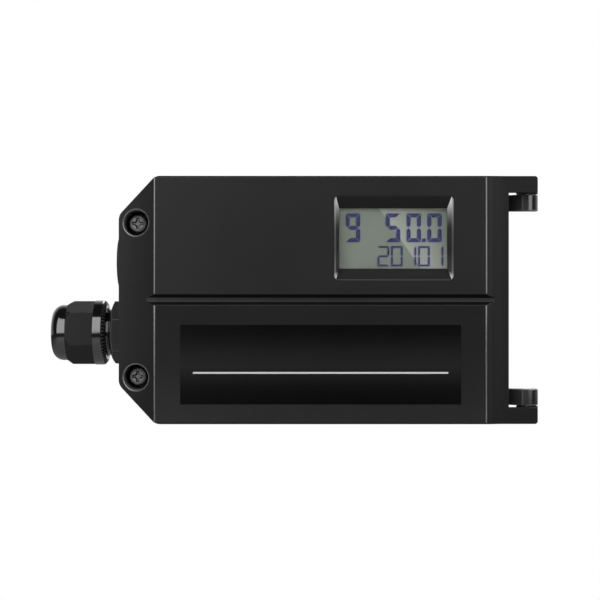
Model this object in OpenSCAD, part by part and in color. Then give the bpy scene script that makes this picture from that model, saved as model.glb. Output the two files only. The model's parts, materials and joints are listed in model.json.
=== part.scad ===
// Valve positioner with hinged cover, display, cable gland and feedback shaft.
// X to the right, Y to the rear, Z up; origin on the shaft axis at the rear mounting face.

/* [Body] */
// Shaft axis to left end
body_left = 75; // [65:1:95]
// Shaft axis to right end
body_right = 75; // [70:1:95]
// Height of the housing
body_h = 95; // [90:1:130]
// Mounting face to front panel
body_d = 72; // [66:1:95]
// Front panel to parting line
cover_d = 26; // [22:1:30]
// Wall thickness
wall = 3.2; // [2.4:0.1:4.5]
// Leg of the 45 degree corners at the left end
corner_leg = 14.8; // [10:0.2:18]
// Radius on the left corners
corner_r = 4.4; // [1:0.1:5]
// Rounding of the long front edges
edge_r = 0.8; // [0.4:0.1:2]
// Thickness of the rear wall
floor_t = 4; // [3:0.1:6]
// Height of the round mounting pad
pad_h = 2; // [1:0.1:4]
// Radius of the round mounting pad
pad_r = 33; // [32:0.5:40]
// Width of the cover gasket
gasket_w = 1.6; // [1:0.1:2]
// Depth of the gasket groove
gasket_d = 2; // [1.2:0.1:3]

/* [Cover front] */
// Thickness of the front panel
front_t = 3; // [2.4:0.1:3.4]
// Left crease of the raised panel, from the left end
crease_left = 14.3; // [10:0.1:20]
// Drop of the left slope at the left end
slope_drop = 6; // [3:0.1:8]
// Right crease of the raised panel, from the right end
crease_right = 8.8; // [6:0.1:14]
// Width of the right shoulder slope
shoulder_w = 4.2; // [3:0.1:5]
// Share of the shoulder slope that its fillet takes
shoulder_fill = 0.9; // [0.5:0.05:0.9]
// Depth of the ledge at the right end
ledge_drop = 1.6; // [1:0.1:3]
// Rounding of the two creases
crease_r = 1.6; // [0.5:0.1:3]
// Width of the long groove at the surface
groove_w = 4.1; // [2.5:0.1:6]
// Width of the groove floor
groove_floor = 1.7; // [0.8:0.1:2.2]
// Depth of the groove
groove_d = 1; // [0.5:0.1:1.4]
// Height of the groove centre
groove_z = 0.15; // [-4:0.05:4]
// Width of the front label
label_w = 107.2; // [60:0.2:116]
// Height of the front label
label_h = 30.3; // [15:0.1:34]
// Thickness of the front label
label_t = 0.3; // [0.2:0.05:0.6]
// Label centre, sideways
label_x = 2.9; // [-2:0.1:6]
// Label centre, height
label_z = -24.7; // [-26:0.1:-22]

/* [Display] */
// Width of the bevelled frame
frame_w = 45.7; // [38:0.1:50]
// Height of the bevelled frame
frame_h = 32.5; // [26:0.1:36]
// Frame centre, sideways
frame_x = 30.85; // [26:0.05:34]
// Frame centre, height
frame_z = 23.7; // [21:0.1:25]
// Flat rim beside the upright bevels
frame_rim = 0.75; // [0.3:0.05:1]
// Width of the visible display
view_w = 41.5; // [34:0.1:43]
// Height of the visible display
view_h = 23.2; // [18:0.1:25]
// Depth of the bevelled frame
frame_d = 4; // [3.4:0.1:5]
// Thickness of the clear window
window_t = 1.5; // [1:0.1:2.5]
// Thickness of the display glass
glass_t = 1.2; // [0.8:0.1:2]

/* [Hinge] */
// Hinge axis beyond the right end
hinge_out = 8.5; // [7.5:0.1:10]
// Hinge axis behind the front panel
hinge_in = 12; // [10:0.1:14]
// Radius of the knuckles
knuckle_r = 4.2; // [3.4:0.1:5]
// Ear length beyond the right end
ear_len = 11.1; // [10.6:0.1:14]
// Ear thickness
ear_t = 6.3; // [5:0.1:8]
// Thickness of the ear plate
ear_plate = 3; // [2:0.1:5]
// Knuckle thickness
knuckle_t = 6.3; // [4:0.1:8]
// Taper of the hinge arms towards the rear
arm_taper = 1.7; // [0:0.1:2.5]
// Gap between ear and knuckle
ear_gap = 0.3; // [0.2:0.1:2]
// Radius of the hinge pins
pin_r = 1.5; // [1:0.05:1.8]
// Pin length inside the ear
pin_ear = 4; // [2:0.1:4.6]

/* [Cover screws] */
// Screw axis from the left end
screw_in = 7; // [6.6:0.1:9]
// Screw axis from the upper and lower edges
screw_edge = 17.8; // [15:0.1:20]
// Radius of the deep counterbore
bore_r = 4.9; // [4.2:0.1:5]
// Radius of the screw head
head_r = 3.3; // [3:0.1:3.8]
// Height of the screw head
head_h = 3; // [2:0.1:3.6]
// Length of the cross recess
cross_l = 4.2; // [3:0.1:4.8]
// Width of the cross recess
cross_w = 1.1; // [0.6:0.1:1.4]
// Radius of the screw shank
shank_r = 2; // [1.5:0.05:2.2]
// Head top behind the front panel, screw backed out
head_in = 9.5; // [8:0.1:11]
// Travel of the screws
screw_travel = 6; // [3:0.1:6.4]
// Height of the sealing ring under the head
seal_h = 1; // [0.6:0.1:1.6]
// Outer radius of the threaded inserts
insert_r = 2.9; // [2.6:0.05:3.4]
// Length of the threaded inserts
insert_l = 6.6; // [6.2:0.1:7]

/* [Cable entries] */
// Entry axis in front of the mounting face
entry_y = 24; // [20:0.1:27]
// Gland axis height
gland_z = -13.45; // [-15:0.05:-13]
// Plug axis height
plug_z = 15.5; // [15:0.05:16]
// Thread radius of the gland and plug
entry_r = 9.9; // [8:0.05:10.5]
// Length of thread inside the wall
entry_in = 11; // [9.5:0.1:12]
// Across flats of the lock nuts
lock_af = 24; // [22:0.1:24.4]
// Height of the lock nuts
lock_h = 5; // [3:0.1:6]
// Washer height
washer_h = 1.5; // [0.8:0.1:2.5]
// Corner radius of the gland flange
flange_r = 13.05; // [11.5:0.05:13.4]
// Height of the gland flange
flange_h = 6.3; // [4:0.1:9]
// Turn of the gland flange
flange_turn = 55.5; // [0:0.5:60]
// Thread shown between flange and nut
thread_gap = 1.7; // [0.6:0.1:4]
// Corner radius of the dome nut
nut_r = 13.28; // [12.4:0.02:14]
// Length of the round collar of the nut
collar_h = 3.6; // [2:0.1:6]
// Length of the nut hex
nut_hex_h = 11.5; // [8:0.1:15]
// Turn of the nut hex
nut_turn = 8; // [0:1:60]
// Radius of the nut dome
dome_r = 11.4; // [10.6:0.05:11.8]
// Length of the nut dome
dome_h = 6.2; // [5.8:0.1:9]
// Rounding of the dome
dome_round = 4.4; // [2:0.1:4.8]
// Mouth radius of the dome
mouth_r = 6.4; // [5.4:0.1:6.8]
// Length of the clamping cage
cage_l = 5; // [3.5:0.1:6]
// Axial travel of the dome nut
nut_travel = 1.5; // [0.8:0.1:1.5]
// Bore radius of the rubber seal
cable_r = 5; // [3:0.1:5.3]
// Radius of the plug head
plug_r = 11; // [10.4:0.1:12]
// Height of the plug head
plug_h = 3.7; // [2:0.1:6]

/* [Feedback shaft] */
// Radius of the feedback shaft
shaft_r = 4; // [3:0.05:4.5]
// Radius of the shaft in its bush
bearing_r = 4.6; // [4.55:0.05:5]
// Shaft length behind the mounting face
shaft_out = 15; // [8:0.5:30]
// Length of the flat on the shaft end
flat_l = 7; // [3:0.5:8]
// Depth of the flat
flat_d = 0.7; // [0.2:0.1:0.8]
// Length of the shaft boss
boss_len = 12; // [11:0.1:13]
// Outer radius of the bush
bush_r = 6; // [5.2:0.1:7]
// Outer radius of the shaft seal
seal_r = 7.5; // [7.2:0.1:9]
// Hole circle of the mounting inserts
mount_pcd = 50; // [44:0.5:54]
// Bore radius of the mounting inserts
mount_r = 2.5; // [2:0.05:3]
// Outer radius of the mounting inserts
mount_or = 4; // [3.6:0.1:4.6]
// Length of the mounting inserts
mount_l = 10; // [6:0.1:10.4]

/* [Gear train] */
// Gear module
gear_m = 0.75; // [0.7:0.01:0.78]
// Teeth on the shaft gear
gear_z = 54; // [54:18:54]
// Teeth on the pinion
pinion_z = 18; // [18:1:18]
// Gear thickness
gear_t = 5; // [3:0.1:6]
// Added centre distance
mesh_gap = 0.1; // [0.05:0.01:0.2]
// Tooth backlash
backlash = 0.16; // [0.1:0.01:0.25]
// Radius of the adjusting wheel
wheel_r = 14; // [10:0.1:16]
// Thickness of the adjusting wheel
wheel_t = 5; // [3:0.1:6]
// Radius of the inner shaft journal
journal_r = 3; // [2:0.05:3.4]
// Thickness of the gear plate
plate_t = 2; // [1.5:0.1:3]
// Radius of the potentiometer
pot_r = 8.5; // [7:0.1:10]
// Length of the potentiometer
pot_l = 8; // [5:0.1:9]
// Radius of the potentiometer shaft
pot_shaft_r = 1.5; // [1:0.05:1.8]

/* [Pneumatics] */
// Width of the pneumatic block
block_w = 25; // [22:0.1:27]
// Height of the pneumatic block
block_h = 73; // [68:0.2:76]
// Depth of the pneumatic block
block_d = 28; // [27:0.1:29]
// Height of the port nose
nose_h = 66; // [60:0.2:66.4]
// Depth of the port nose
nose_d = 22; // [18:0.1:23]
// Nose beyond the right end
nose_out = 2.5; // [1:0.1:5]
// Port axis in front of the mounting face
port_y = 21; // [20:0.1:21.6]
// Port pitch
port_pitch = 22; // [18:0.1:24]
// Radius of the threaded ports
port_r = 5.75; // [4.4:0.05:6.6]
// Depth of the threaded ports
port_l = 12; // [8:0.5:13]
// Depth step between neighbouring ports
port_step = 1; // [0.5:0.1:1]
// Thickness of the port gasket
port_gasket_t = 0.8; // [0.5:0.1:1.5]
// Thickness of the pilot valve
pilot_t = 6; // [4:0.1:8]
// Radius of the throttle screws
throttle_r = 2.5; // [2:0.1:3]
// Radius of the exhaust silencer
silencer_r = 7.5; // [5:0.1:9]

/* [Electronics] */
// Thickness of the circuit board
board_t = 1.6; // [1:0.1:2.4]
// Space in front of the gear plate parts
board_space = 3; // [2:0.1:4]
// Height of the electronics cover
shroud_h = 11.4; // [10:0.1:12]
// Wall of the electronics cover
shroud_t = 2; // [1.5:0.1:2.5]
// Height of the terminal block
terminal_h = 12; // [10:0.1:14]
// Terminal pitch
terminal_pitch = 6; // [5:0.1:6.2]
// Key radius
key_r = 4; // [3:0.1:4.6]
// Key pitch
key_pitch = 13; // [12:0.1:14]
// Key row height
key_z = -10; // [-14:0.1:-8]
// Key travel
key_travel = 0.6; // [0.3:0.05:0.8]
// Key proud of the electronics cover
key_out = 2.5; // [1:0.1:4]

// Width of the terminal block
terminal_w = 16; // [14:0.5:18]
// Side of the processor
chip_w = 14; // [8:0.5:18]
// Height of the processor
chip_h = 2; // [1:0.1:3]
// Length of the converter
converter_l = 22; // [12:0.5:26]
// Width of the converter
converter_w = 7; // [4:0.5:9]
// Height of the converter
converter_h = 5.5; // [3:0.1:7]
// Radius of the capacitors
capacitor_r = 4; // [2:0.1:5]
// Height of the capacitors
capacitor_h = 8; // [4:0.1:8.4]

/* [Fits] */
// Gap at the parting line
parting_gap = 0.2; // [0.1:0.05:0.4]
// Running clearance of the shafts
run_gap = 0.05; // [0.02:0.01:0.09]
// Clearance of seated pieces
seat_gap = 0.1; // [0.05:0.05:0.3]
// Clearance of loose screws and threads
loose_gap = 0.15; // [0.1:0.05:0.3]
// Clearance around the keys
key_gap = 0.25; // [0.15:0.05:0.5]

/* [Hidden] */
$fn = 64;

y_front = -body_d;
y_part = -(body_d - cover_d);
y_cover = y_part - parting_gap;
y_back = -pad_h;
y_floor = -(pad_h + floor_t);
y_inner = y_front + front_t;
y_ledge = y_front + ledge_drop;
half_h = body_h / 2;
inner_h = half_h - wall;
x_in_r = body_right - wall;
x_in_l = -(body_left - wall);
slope_k = slope_drop / crease_left;
x_crease_l = -(body_left - crease_left);
x_crease_r = body_right - crease_right;
x_ledge = x_crease_r + shoulder_w;
shoulder_r = shoulder_fill * norm([shoulder_w, ledge_drop]) * tan(90 - atan(ledge_drop / shoulder_w) / 2);

hinge_x = body_right + hinge_out;
hinge_y = y_front + hinge_in;
ear_z = half_h - ear_t;
knuckle_z = ear_z - ear_gap;
ear_end = body_right + ear_len;
knuckle_x = hinge_x - 0.57 * knuckle_r;

screw_x = -(body_left - screw_in);
screw_z = half_h - screw_edge;
y_head = y_front + head_in + head_h;
y_seal = y_head + seal_h;
y_bore = y_seal + screw_travel;
shank_l = y_cover - 0.3 - y_head;
hole_r = shank_r + 0.3;

gland_x = -body_left;
nut_z0 = washer_h + flange_h + thread_gap;
collar_z = nut_z0 + 1.3;
hex_z = collar_z + collar_h;
dome_z = hex_z + nut_hex_h;
nut_end = dome_z + dome_h;
body_end = nut_z0 + 7;
nut_bore = entry_r + loose_gap;
slip_z = body_end + cage_l + nut_travel + 0.1;

y_boss = -boss_len;
y_collar = y_boss - 1 - seat_gap;
y_gear = y_collar - 2;
y_wheel = y_gear - gear_t - 2;
y_plate = y_wheel - wheel_t - 4;
y_plate_front = y_plate - plate_t;
y_pot = y_plate_front - pot_l;
y_board = y_pot - board_space;
y_board_front = y_board - board_t;
y_shroud = y_board_front - shroud_h;
gear_rp = gear_m * gear_z / 2;
pinion_rp = gear_m * pinion_z / 2;
centre = gear_rp + pinion_rp + mesh_gap;
pot_x = -centre;
gear_posts = [[gear_rp + gear_m + 4.6, 0], [-14, gear_rp + gear_m + 4.6], [-14, -gear_rp - gear_m - 4.6]];
mount_at = mount_pcd / 2 * sqrt(0.5);

block_x1 = x_in_r - port_gasket_t;
block_x0 = block_x1 - block_w;
y_block = y_floor - block_d;
throttle_x = block_x1 - 6.2;
throttle_z = block_h / 2 - 9;

board_x0 = -body_left + 17;
board_x1 = body_right - 18;
board_h = half_h - 8;
post_l = [board_x0 + 5, board_h - 4.5];
post_r = [block_x0 - 6, board_h - 8.5];
shroud_x0 = board_x0 + 22;
shroud_z = board_h - 0.5;
y_window = y_front + frame_d;
y_window_rear = y_window + window_t;
y_display = y_window_rear + 0.3;
key_x = [frame_x - key_pitch, frame_x, frame_x + key_pitch];
switch_h = 3.6;
terminal_count = 8;

function unit(v) = v / norm(v);
function shell_corners(inset) = let (l = inset - body_left, r = body_right - inset, h = half_h - inset,
    c = corner_leg - inset * (2 - sqrt(2)))
    [[l, c - h], [l + c, -h], [r, -h], [r, h], [l + c, h], [l, h - c]];
function inv(a) = tan(a) * 180 / PI - a;
function tooth_half(m, z, r) = let (rp = m * z / 2, rb = rp * cos(20))
    90 / z - backlash / 2 / rp * 180 / PI + inv(20) - inv(acos(min(1, rb / r)));
function gear_radii(m, z) = let (rp = m * z / 2, rb = rp * cos(20), rf = rp - 1.25 * m, ra = rp + 0.92 * m,
    r0 = max(rb, rf)) concat(rf < rb ? [rf] : [], [r0, (2 * r0 + ra) / 3, (r0 + 2 * ra) / 3, ra]);
function tooth(m, z, i) = let (rr = gear_radii(m, z), n = len(rr), a = 360 / z * i)
    concat([for (k = [0:n - 1]) let (t = a - tooth_half(m, z, max(rr[k], m * z / 2 * cos(20))))
        rr[k] * [cos(t), sin(t)]],
        [for (k = [n - 1:-1:0]) let (t = a + tooth_half(m, z, max(rr[k], m * z / 2 * cos(20))))
        rr[k] * [cos(t), sin(t)]]);
function gear_outline(m, z) = [for (i = [0:z - 1]) each tooth(m, z, i)];

module corner_waste(a, p, b, r) {
    u = unit(a - p);
    v = unit(b - p);
    half = acos(u * v) / 2;
    t = r / tan(half);
    c = p + unit(u + v) * r / sin(half);
    t1 = p + u * t;
    t2 = p + v * t;
    difference() {
        polygon([t1, t1 + unit(t1 - c) * 0.5, p + unit(p - c) * 0.9, t2 + unit(t2 - c) * 0.5, t2]);
        translate(c) circle(r);
    }
}

module corner_fill(a, p, b, r) {
    u = unit(a - p);
    v = unit(b - p);
    half = acos(u * v) / 2;
    t = r / tan(half);
    difference() {
        polygon([p + u * t, p - unit(u + v) * 0.3, p + v * t]);
        translate(p + unit(u + v) * r / sin(half)) circle(r);
    }
}

module rounded_polygon(corners, radii) {
    n = len(corners);
    difference() {
        polygon(corners);
        for (i = [0:n - 1]) if (radii[i] > 0)
            corner_waste(corners[(i + n - 1) % n], corners[i], corners[(i + 1) % n], radii[i]);
    }
}

module rounded_rect(w, h, r) {
    x = w / 2;
    z = h / 2;
    rounded_polygon([[-x, -z], [x, -z], [x, z], [-x, z]], [r, r, r, r]);
}

module slab(y, d) translate([0, y, 0]) rotate([90, 0, 0]) linear_extrude(d) children();
module disc(x, z, y, d, r) translate([x, y, z]) rotate([90, 0, 0]) cylinder(r = r, h = d);
module ring(x, z, y, d, r, bore) translate([x, y, z]) rotate([90, 0, 0]) linear_extrude(d) difference() {
    circle(r);
    circle(bore);
}
module along_z(z, h) translate([0, 0, z]) linear_extrude(h) children();
module along_x(x, l) translate([x, 0, 0]) rotate([90, 0, 90]) linear_extrude(l) children();
module outward(z) translate([gland_x, -entry_y, z]) rotate([0, -90, 0]) children();
module frontward(x, y, z) translate([x, y, z]) rotate([90, 0, 0]) children();
module both_sides() for (s = [0, 1]) mirror([0, 0, s]) children();
module shell_outline(inset, r, r2) rounded_polygon(shell_corners(inset), [r, r, r2, r2, r, r]);

module screw_boss() disc(screw_x, screw_z, y_part + insert_l + 1.2, insert_l + 4, 5.4);

module base_bosses() {
    disc(0, 0, y_floor + 1, y_floor + 1 - y_boss, 11);
    for (a = [45:90:315]) rotate([0, a, 0]) disc(mount_pcd / 2, 0, y_floor + 1, y_floor + 1 - y_boss, mount_or + 2.4);
    for (p = gear_posts) disc(p[0], p[1], y_floor + 1, y_floor + 1 - y_plate, 3);
    for (s = [-1, 1]) {
        disc(post_l[0], s * post_l[1], y_floor + 1, y_floor + 1 - y_board, 3.4);
        disc(post_r[0], s * post_r[1], y_floor + 1, y_floor + 1 - y_board, 3.4);
    }
    both_sides() screw_boss();
}

module hinge_arm() {
    foot = knuckle_z - knuckle_t;
    difference() {
        along_z(foot, knuckle_t) difference() {
            union() {
                polygon([[body_right - 1, y_part + 16], [body_right - 1, y_part], [body_right + 0.6, y_part],
                    [body_right + 0.6, hinge_y + 3], [body_right + 1.3, hinge_y], [knuckle_x, hinge_y - knuckle_r],
                    [hinge_x, hinge_y - knuckle_r], [hinge_x, hinge_y],
                    [hinge_x + knuckle_r, hinge_y], [hinge_x + knuckle_r, y_part + 2]]);
                translate([hinge_x, hinge_y]) circle(knuckle_r);
            }
            translate([hinge_x, hinge_y]) circle(pin_r);
        }
        along_x(body_right - 2, hinge_out + knuckle_r + 4)
            polygon([[hinge_y + 2, foot], [y_part + 17, foot + arm_taper], [y_part + 17, foot - 1], [hinge_y + 2, foot - 1]]);
    }
}

module base_housing() color([0.12, 0.12, 0.13]) difference() {
    union() {
        difference() {
            slab(y_back, y_back - y_part) shell_outline(0, corner_r, 1.2);
            difference() {
                slab(y_floor, y_floor - y_part + 1) shell_outline(wall, 1, 0.6);
                base_bosses();
            }
        }
        disc(0, 0, 0, pad_h + 1, pad_r);
        both_sides() hinge_arm();
    }
    disc(0, 0, 1, boss_len + 3, bush_r);
    disc(0, 0, 1, 4, seal_r);
    for (a = [45:90:315]) rotate([0, a, 0]) disc(mount_pcd / 2, 0, 1, mount_l + 1, mount_or);
    outward(gland_z) translate([0, 0, -wall - 1]) cylinder(r = entry_r + 0.3, h = wall + 2);
    outward(plug_z) translate([0, 0, -wall - 1]) cylinder(r = entry_r + 0.3, h = wall + 2);
    along_x(x_in_r - 1, wall + 2) translate([-port_y, 0])
        rounded_rect(nose_d + 2 * seat_gap, nose_h + 2 * seat_gap, 3);
    both_sides() disc(screw_x, screw_z, y_part + insert_l, insert_l + 2, insert_r);
    disc((block_x0 + block_x1) / 2, 0, y_back + 1, floor_t + 2, silencer_r);
    for (p = gear_posts) disc(p[0], p[1], y_plate + 8, 9, 1.25);
    for (s = [-1, 1]) {
        disc(post_l[0], s * post_l[1], y_board + 7, 8, 1.25);
        disc(post_r[0], s * post_r[1], y_board + 7, 8, 1.25);
        disc(block_x0 + 5, s * (block_h / 2 - 6), y_back - 1, floor_t, 2);
    }
}

module mounting_inserts() color([0.78, 0.62, 0.3])
    for (a = [45:90:315]) rotate([0, a, 0]) ring(mount_pcd / 2, 0, 0, mount_l, mount_or, mount_r);

module screw_inserts() color([0.78, 0.62, 0.3])
    both_sides() ring(screw_x, screw_z, y_part + insert_l, insert_l - 0.2, insert_r, shank_r + loose_gap);

module hinge_pins() color([0.7, 0.7, 0.72]) both_sides()
    translate([hinge_x, hinge_y, knuckle_z - knuckle_t]) cylinder(r = pin_r, h = knuckle_t + ear_gap + pin_ear);

module front_waste() for (s = [-1, 1]) along_x(-body_left - 5, body_left + body_right + 40)
    corner_waste([0, s * half_h], [y_front, s * half_h], [y_front, 0], edge_r);

module cover_body() {
    x0 = -body_left - 6;
    x1 = body_right + 6;
    difference() {
        intersection() {
            slab(y_cover, body_d) shell_outline(0, corner_r, 0.5);
            along_z(-body_h, 2 * body_h) {
                rounded_polygon([[x0, y_part + 4], [x0, y_front + (x_crease_l - x0) * slope_k], [x_crease_l, y_front],
                    [x_crease_r, y_front], [x_ledge, y_ledge], [x1, y_ledge], [x1, y_part + 4]],
                    [0, 0, crease_r, crease_r, 0, 0, 0]);
                corner_fill([x_crease_r, y_front], [x_ledge, y_ledge], [x1, y_ledge], shoulder_r);
            }
        }
        front_waste();
    }
    for (s = [-1, 1]) {
        slab(y_ledge + ear_plate, ear_plate) rounded_polygon([[body_right - 2.5, s * ear_z], [ear_end, s * ear_z],
            [ear_end, s * half_h], [body_right - 2.5, s * half_h]], [0, 1.1, 1.1, 0]);
        along_z(s > 0 ? ear_z : -half_h + 0.2, ear_t - 0.2) {
            translate([hinge_x, hinge_y]) circle(knuckle_r);
            translate([hinge_x - knuckle_r, y_ledge + 1])
                square([ear_end - 0.6 - hinge_x + knuckle_r, hinge_in - ledge_drop - 1]);
        }
    }
}

module cover_cavity() {
    xc = x_crease_l + front_t * slope_k / 2;
    x0 = -body_left - 6;
    difference() {
        intersection() {
            slab(y_cover + 1, body_d) shell_outline(wall, 1, 0.6);
            along_z(-body_h, 2 * body_h) polygon([[x0, y_part + 4], [x0, y_inner + (xc - x0) * slope_k], [xc, y_inner],
                [x_crease_r - 1.5, y_inner], [x_crease_r - 1.5 + shoulder_w, y_inner + ledge_drop],
                [body_right + 6, y_inner + ledge_drop], [body_right + 6, y_part + 4]]);
        }
        for (s = [-1, 1]) disc(screw_x, s * screw_z, y_cover + 2, body_d, bore_r + 1.8);
    }
}

module front_cover() color([0.1, 0.1, 0.11]) difference() {
    cover_body();
    cover_cavity();
    along_x(-body_left - 10, body_left + body_right + 40) translate([0, groove_z])
        polygon([[y_front + groove_d, -groove_floor / 2], [y_front + groove_d, groove_floor / 2],
        [y_front - groove_d, groove_w - groove_floor / 2], [y_front - groove_d, groove_floor / 2 - groove_w]]);
    slab(y_inner + 1, front_t + 2) translate([frame_x, frame_z]) rounded_rect(frame_w, frame_h, 2);
    slab(y_front + label_t, 2) translate([label_x, label_z]) square([label_w + 0.1, label_h + 0.1], center = true);
    for (s = [-1, 1]) {
        disc(screw_x, s * screw_z, y_cover + 1, body_d, hole_r);
        disc(screw_x, s * screw_z, y_bore, body_d, bore_r);
        along_z(s > 0 ? ear_z - 1 : -ear_z - pin_ear - 0.3, pin_ear + 1.3)
            translate([hinge_x, hinge_y]) circle(pin_r + run_gap);
    }
    slab(y_cover + 1, gasket_d + 1) difference() {
        shell_outline((wall - gasket_w) / 2, corner_r - 0.5, 0.5);
        shell_outline((wall + gasket_w) / 2, 1.2, 0.5);
    }
}

module cover_gasket() color([0.2, 0.2, 0.2]) slab(y_part, gasket_d + parting_gap) difference() {
    shell_outline((wall - gasket_w) / 2, corner_r - 0.5, 0.5);
    shell_outline((wall + gasket_w) / 2, 1.2, 0.5);
}

module window_frame() color([0.05, 0.05, 0.06]) difference() {
    union() {
        slab(y_inner, front_t) translate([frame_x, frame_z])
            rounded_rect(frame_w - 2 * seat_gap, frame_h - 2 * seat_gap, 2 - seat_gap);
        slab(y_window, y_window - y_inner) translate([frame_x, frame_z]) rounded_rect(frame_w + 3, frame_h + 3, 2);
    }
    slab(y_window + 1, frame_d) translate([frame_x, frame_z]) square([view_w, view_h], center = true);
    hull() {
        slab(y_window, 0.02) translate([frame_x, frame_z]) square([view_w, view_h], center = true);
        slab(y_front + 0.02, 0.04) translate([frame_x, frame_z])
            square([frame_w - 2 * frame_rim, frame_h - 0.8], center = true);
    }
}

module display_window() color([0.75, 0.8, 0.82, 0.35]) slab(y_window_rear, window_t)
    translate([frame_x, frame_z]) rounded_rect(view_w + 4, view_h + 6, 1.5);

module front_label() color([0.03, 0.03, 0.03]) slab(y_front + label_t, label_t)
    translate([label_x, label_z]) square([label_w, label_h], center = true);

module cover_screw() {
    difference() {
        rotate_extrude() rounded_polygon([[0, 0], [head_r, 0], [head_r, head_h], [0, head_h]], [0, 0, 1.1, 0]);
        for (a = [0, 90]) rotate(a) translate([0, 0, head_h]) cube([cross_w, cross_l, 2.4], center = true);
    }
    translate([0, 0, -shank_l]) cylinder(r = shank_r, h = shank_l + 0.5);
}
module screw_seal() translate([0, 0, -seal_h]) linear_extrude(seal_h) difference() {
    circle(head_r);
    circle(shank_r + run_gap);
}
module upper_cover_screw() color([0.62, 0.62, 0.63]) frontward(screw_x, y_head, screw_z) cover_screw();
module lower_cover_screw() color([0.62, 0.62, 0.63]) frontward(screw_x, y_head, -screw_z) cover_screw();
module upper_screw_seal() color([0.15, 0.15, 0.15]) frontward(screw_x, y_head, screw_z) screw_seal();
module lower_screw_seal() color([0.15, 0.15, 0.15]) frontward(screw_x, y_head, -screw_z) screw_seal();

module hex(af, h) cylinder(r = af / sqrt(3), h = h, $fn = 6);
module tube(z, h, r, bore) translate([0, 0, z]) linear_extrude(h) difference() {
    circle(r);
    circle(bore);
}

module gland_washer() color([0.15, 0.15, 0.15]) outward(gland_z) tube(0, washer_h, entry_r + 2.6, entry_r + 0.1);
module gland_body() color([0.16, 0.16, 0.17]) outward(gland_z) difference() {
    union() {
        translate([0, 0, -entry_in]) cylinder(r = entry_r, h = entry_in + body_end);
        translate([0, 0, washer_h]) intersection() {
            rotate(flange_turn) cylinder(r = flange_r, h = flange_h, $fn = 6);
            cylinder(r1 = flange_r + (flange_h - 1.3) / 0.4, r2 = flange_r - 0.5 - 1.3 / 0.5, h = flange_h);
        }
    }
    translate([0, 0, -entry_in - 1]) cylinder(r = entry_r - 2.4, h = entry_in + body_end + 2);
    translate([0, 0, washer_h + 4]) cylinder(r = entry_r - 1.6, h = body_end);
}
module gland_seal() color([0.25, 0.25, 0.26]) outward(gland_z)
    tube(washer_h + 4, body_end + cage_l - washer_h - 4.2, entry_r - 1.7, cable_r);
module gland_cage() color([0.75, 0.75, 0.72]) outward(gland_z) difference() {
    tube(body_end, cage_l, entry_r - 0.2, entry_r - 1.6);
    for (a = [0:45:135]) rotate(a) translate([0, 0, body_end + 4]) cube([1, 30, 5], center = true);
}
module gland_slip_ring() color([0.8, 0.8, 0.76]) outward(gland_z) tube(slip_z, 1, nut_bore - run_gap, entry_r - 1.4);
module gland_dome_nut() color([0.14, 0.14, 0.15]) outward(gland_z) difference() {
    union() {
        rotate_extrude() rounded_polygon([[0, nut_z0], [nut_r - 1.8, nut_z0], [nut_r, collar_z], [nut_r, hex_z],
            [dome_r, hex_z], [dome_r, nut_end], [0, nut_end]], [0, 0, 0, 0, 0, dome_round, 0]);
        translate([0, 0, hex_z - 0.5]) intersection() {
            rotate(nut_turn) cylinder(r = nut_r - 0.06, h = nut_hex_h + 0.5, $fn = 6);
            rotate_extrude() polygon([[0, -1], [nut_r + 2, -1], [nut_r + 2, nut_hex_h - 4.66],
                [dome_r - 0.25, nut_hex_h + 1.1], [0, nut_hex_h + 1.1]]);
        }
    }
    rotate_extrude() polygon([[0, nut_z0 - 1], [nut_bore, nut_z0 - 1], [nut_bore, slip_z + 1],
        [mouth_r, slip_z + 4.6], [mouth_r, nut_end + 1], [0, nut_end + 1]]);
}
module lock_nut() translate([0, 0, -wall - lock_h]) difference() {
    hex(lock_af, lock_h);
    translate([0, 0, -1]) cylinder(r = entry_r + seat_gap, h = lock_h + 2);
}
module gland_lock_nut() color([0.3, 0.3, 0.31]) outward(gland_z) lock_nut();

module plug_washer() color([0.15, 0.15, 0.15]) outward(plug_z) tube(0, washer_h, entry_r + 0.8, entry_r + 0.1);
module blanking_plug() color([0.15, 0.15, 0.16]) outward(plug_z) difference() {
    union() {
        translate([0, 0, -entry_in]) cylinder(r = entry_r, h = entry_in + washer_h + 1);
        translate([0, 0, washer_h]) rotate_extrude() rounded_polygon([[0, 0], [plug_r, 0],
            [plug_r, plug_h], [0, plug_h]], [0, 0, 1, 0]);
    }
    translate([0, 0, washer_h + plug_h]) cube([14, 2, 3], center = true);
    translate([0, 0, -entry_in - 1]) cylinder(r = entry_r - 3, h = entry_in);
}
module plug_lock_nut() color([0.3, 0.3, 0.31]) outward(plug_z) lock_nut();

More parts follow.
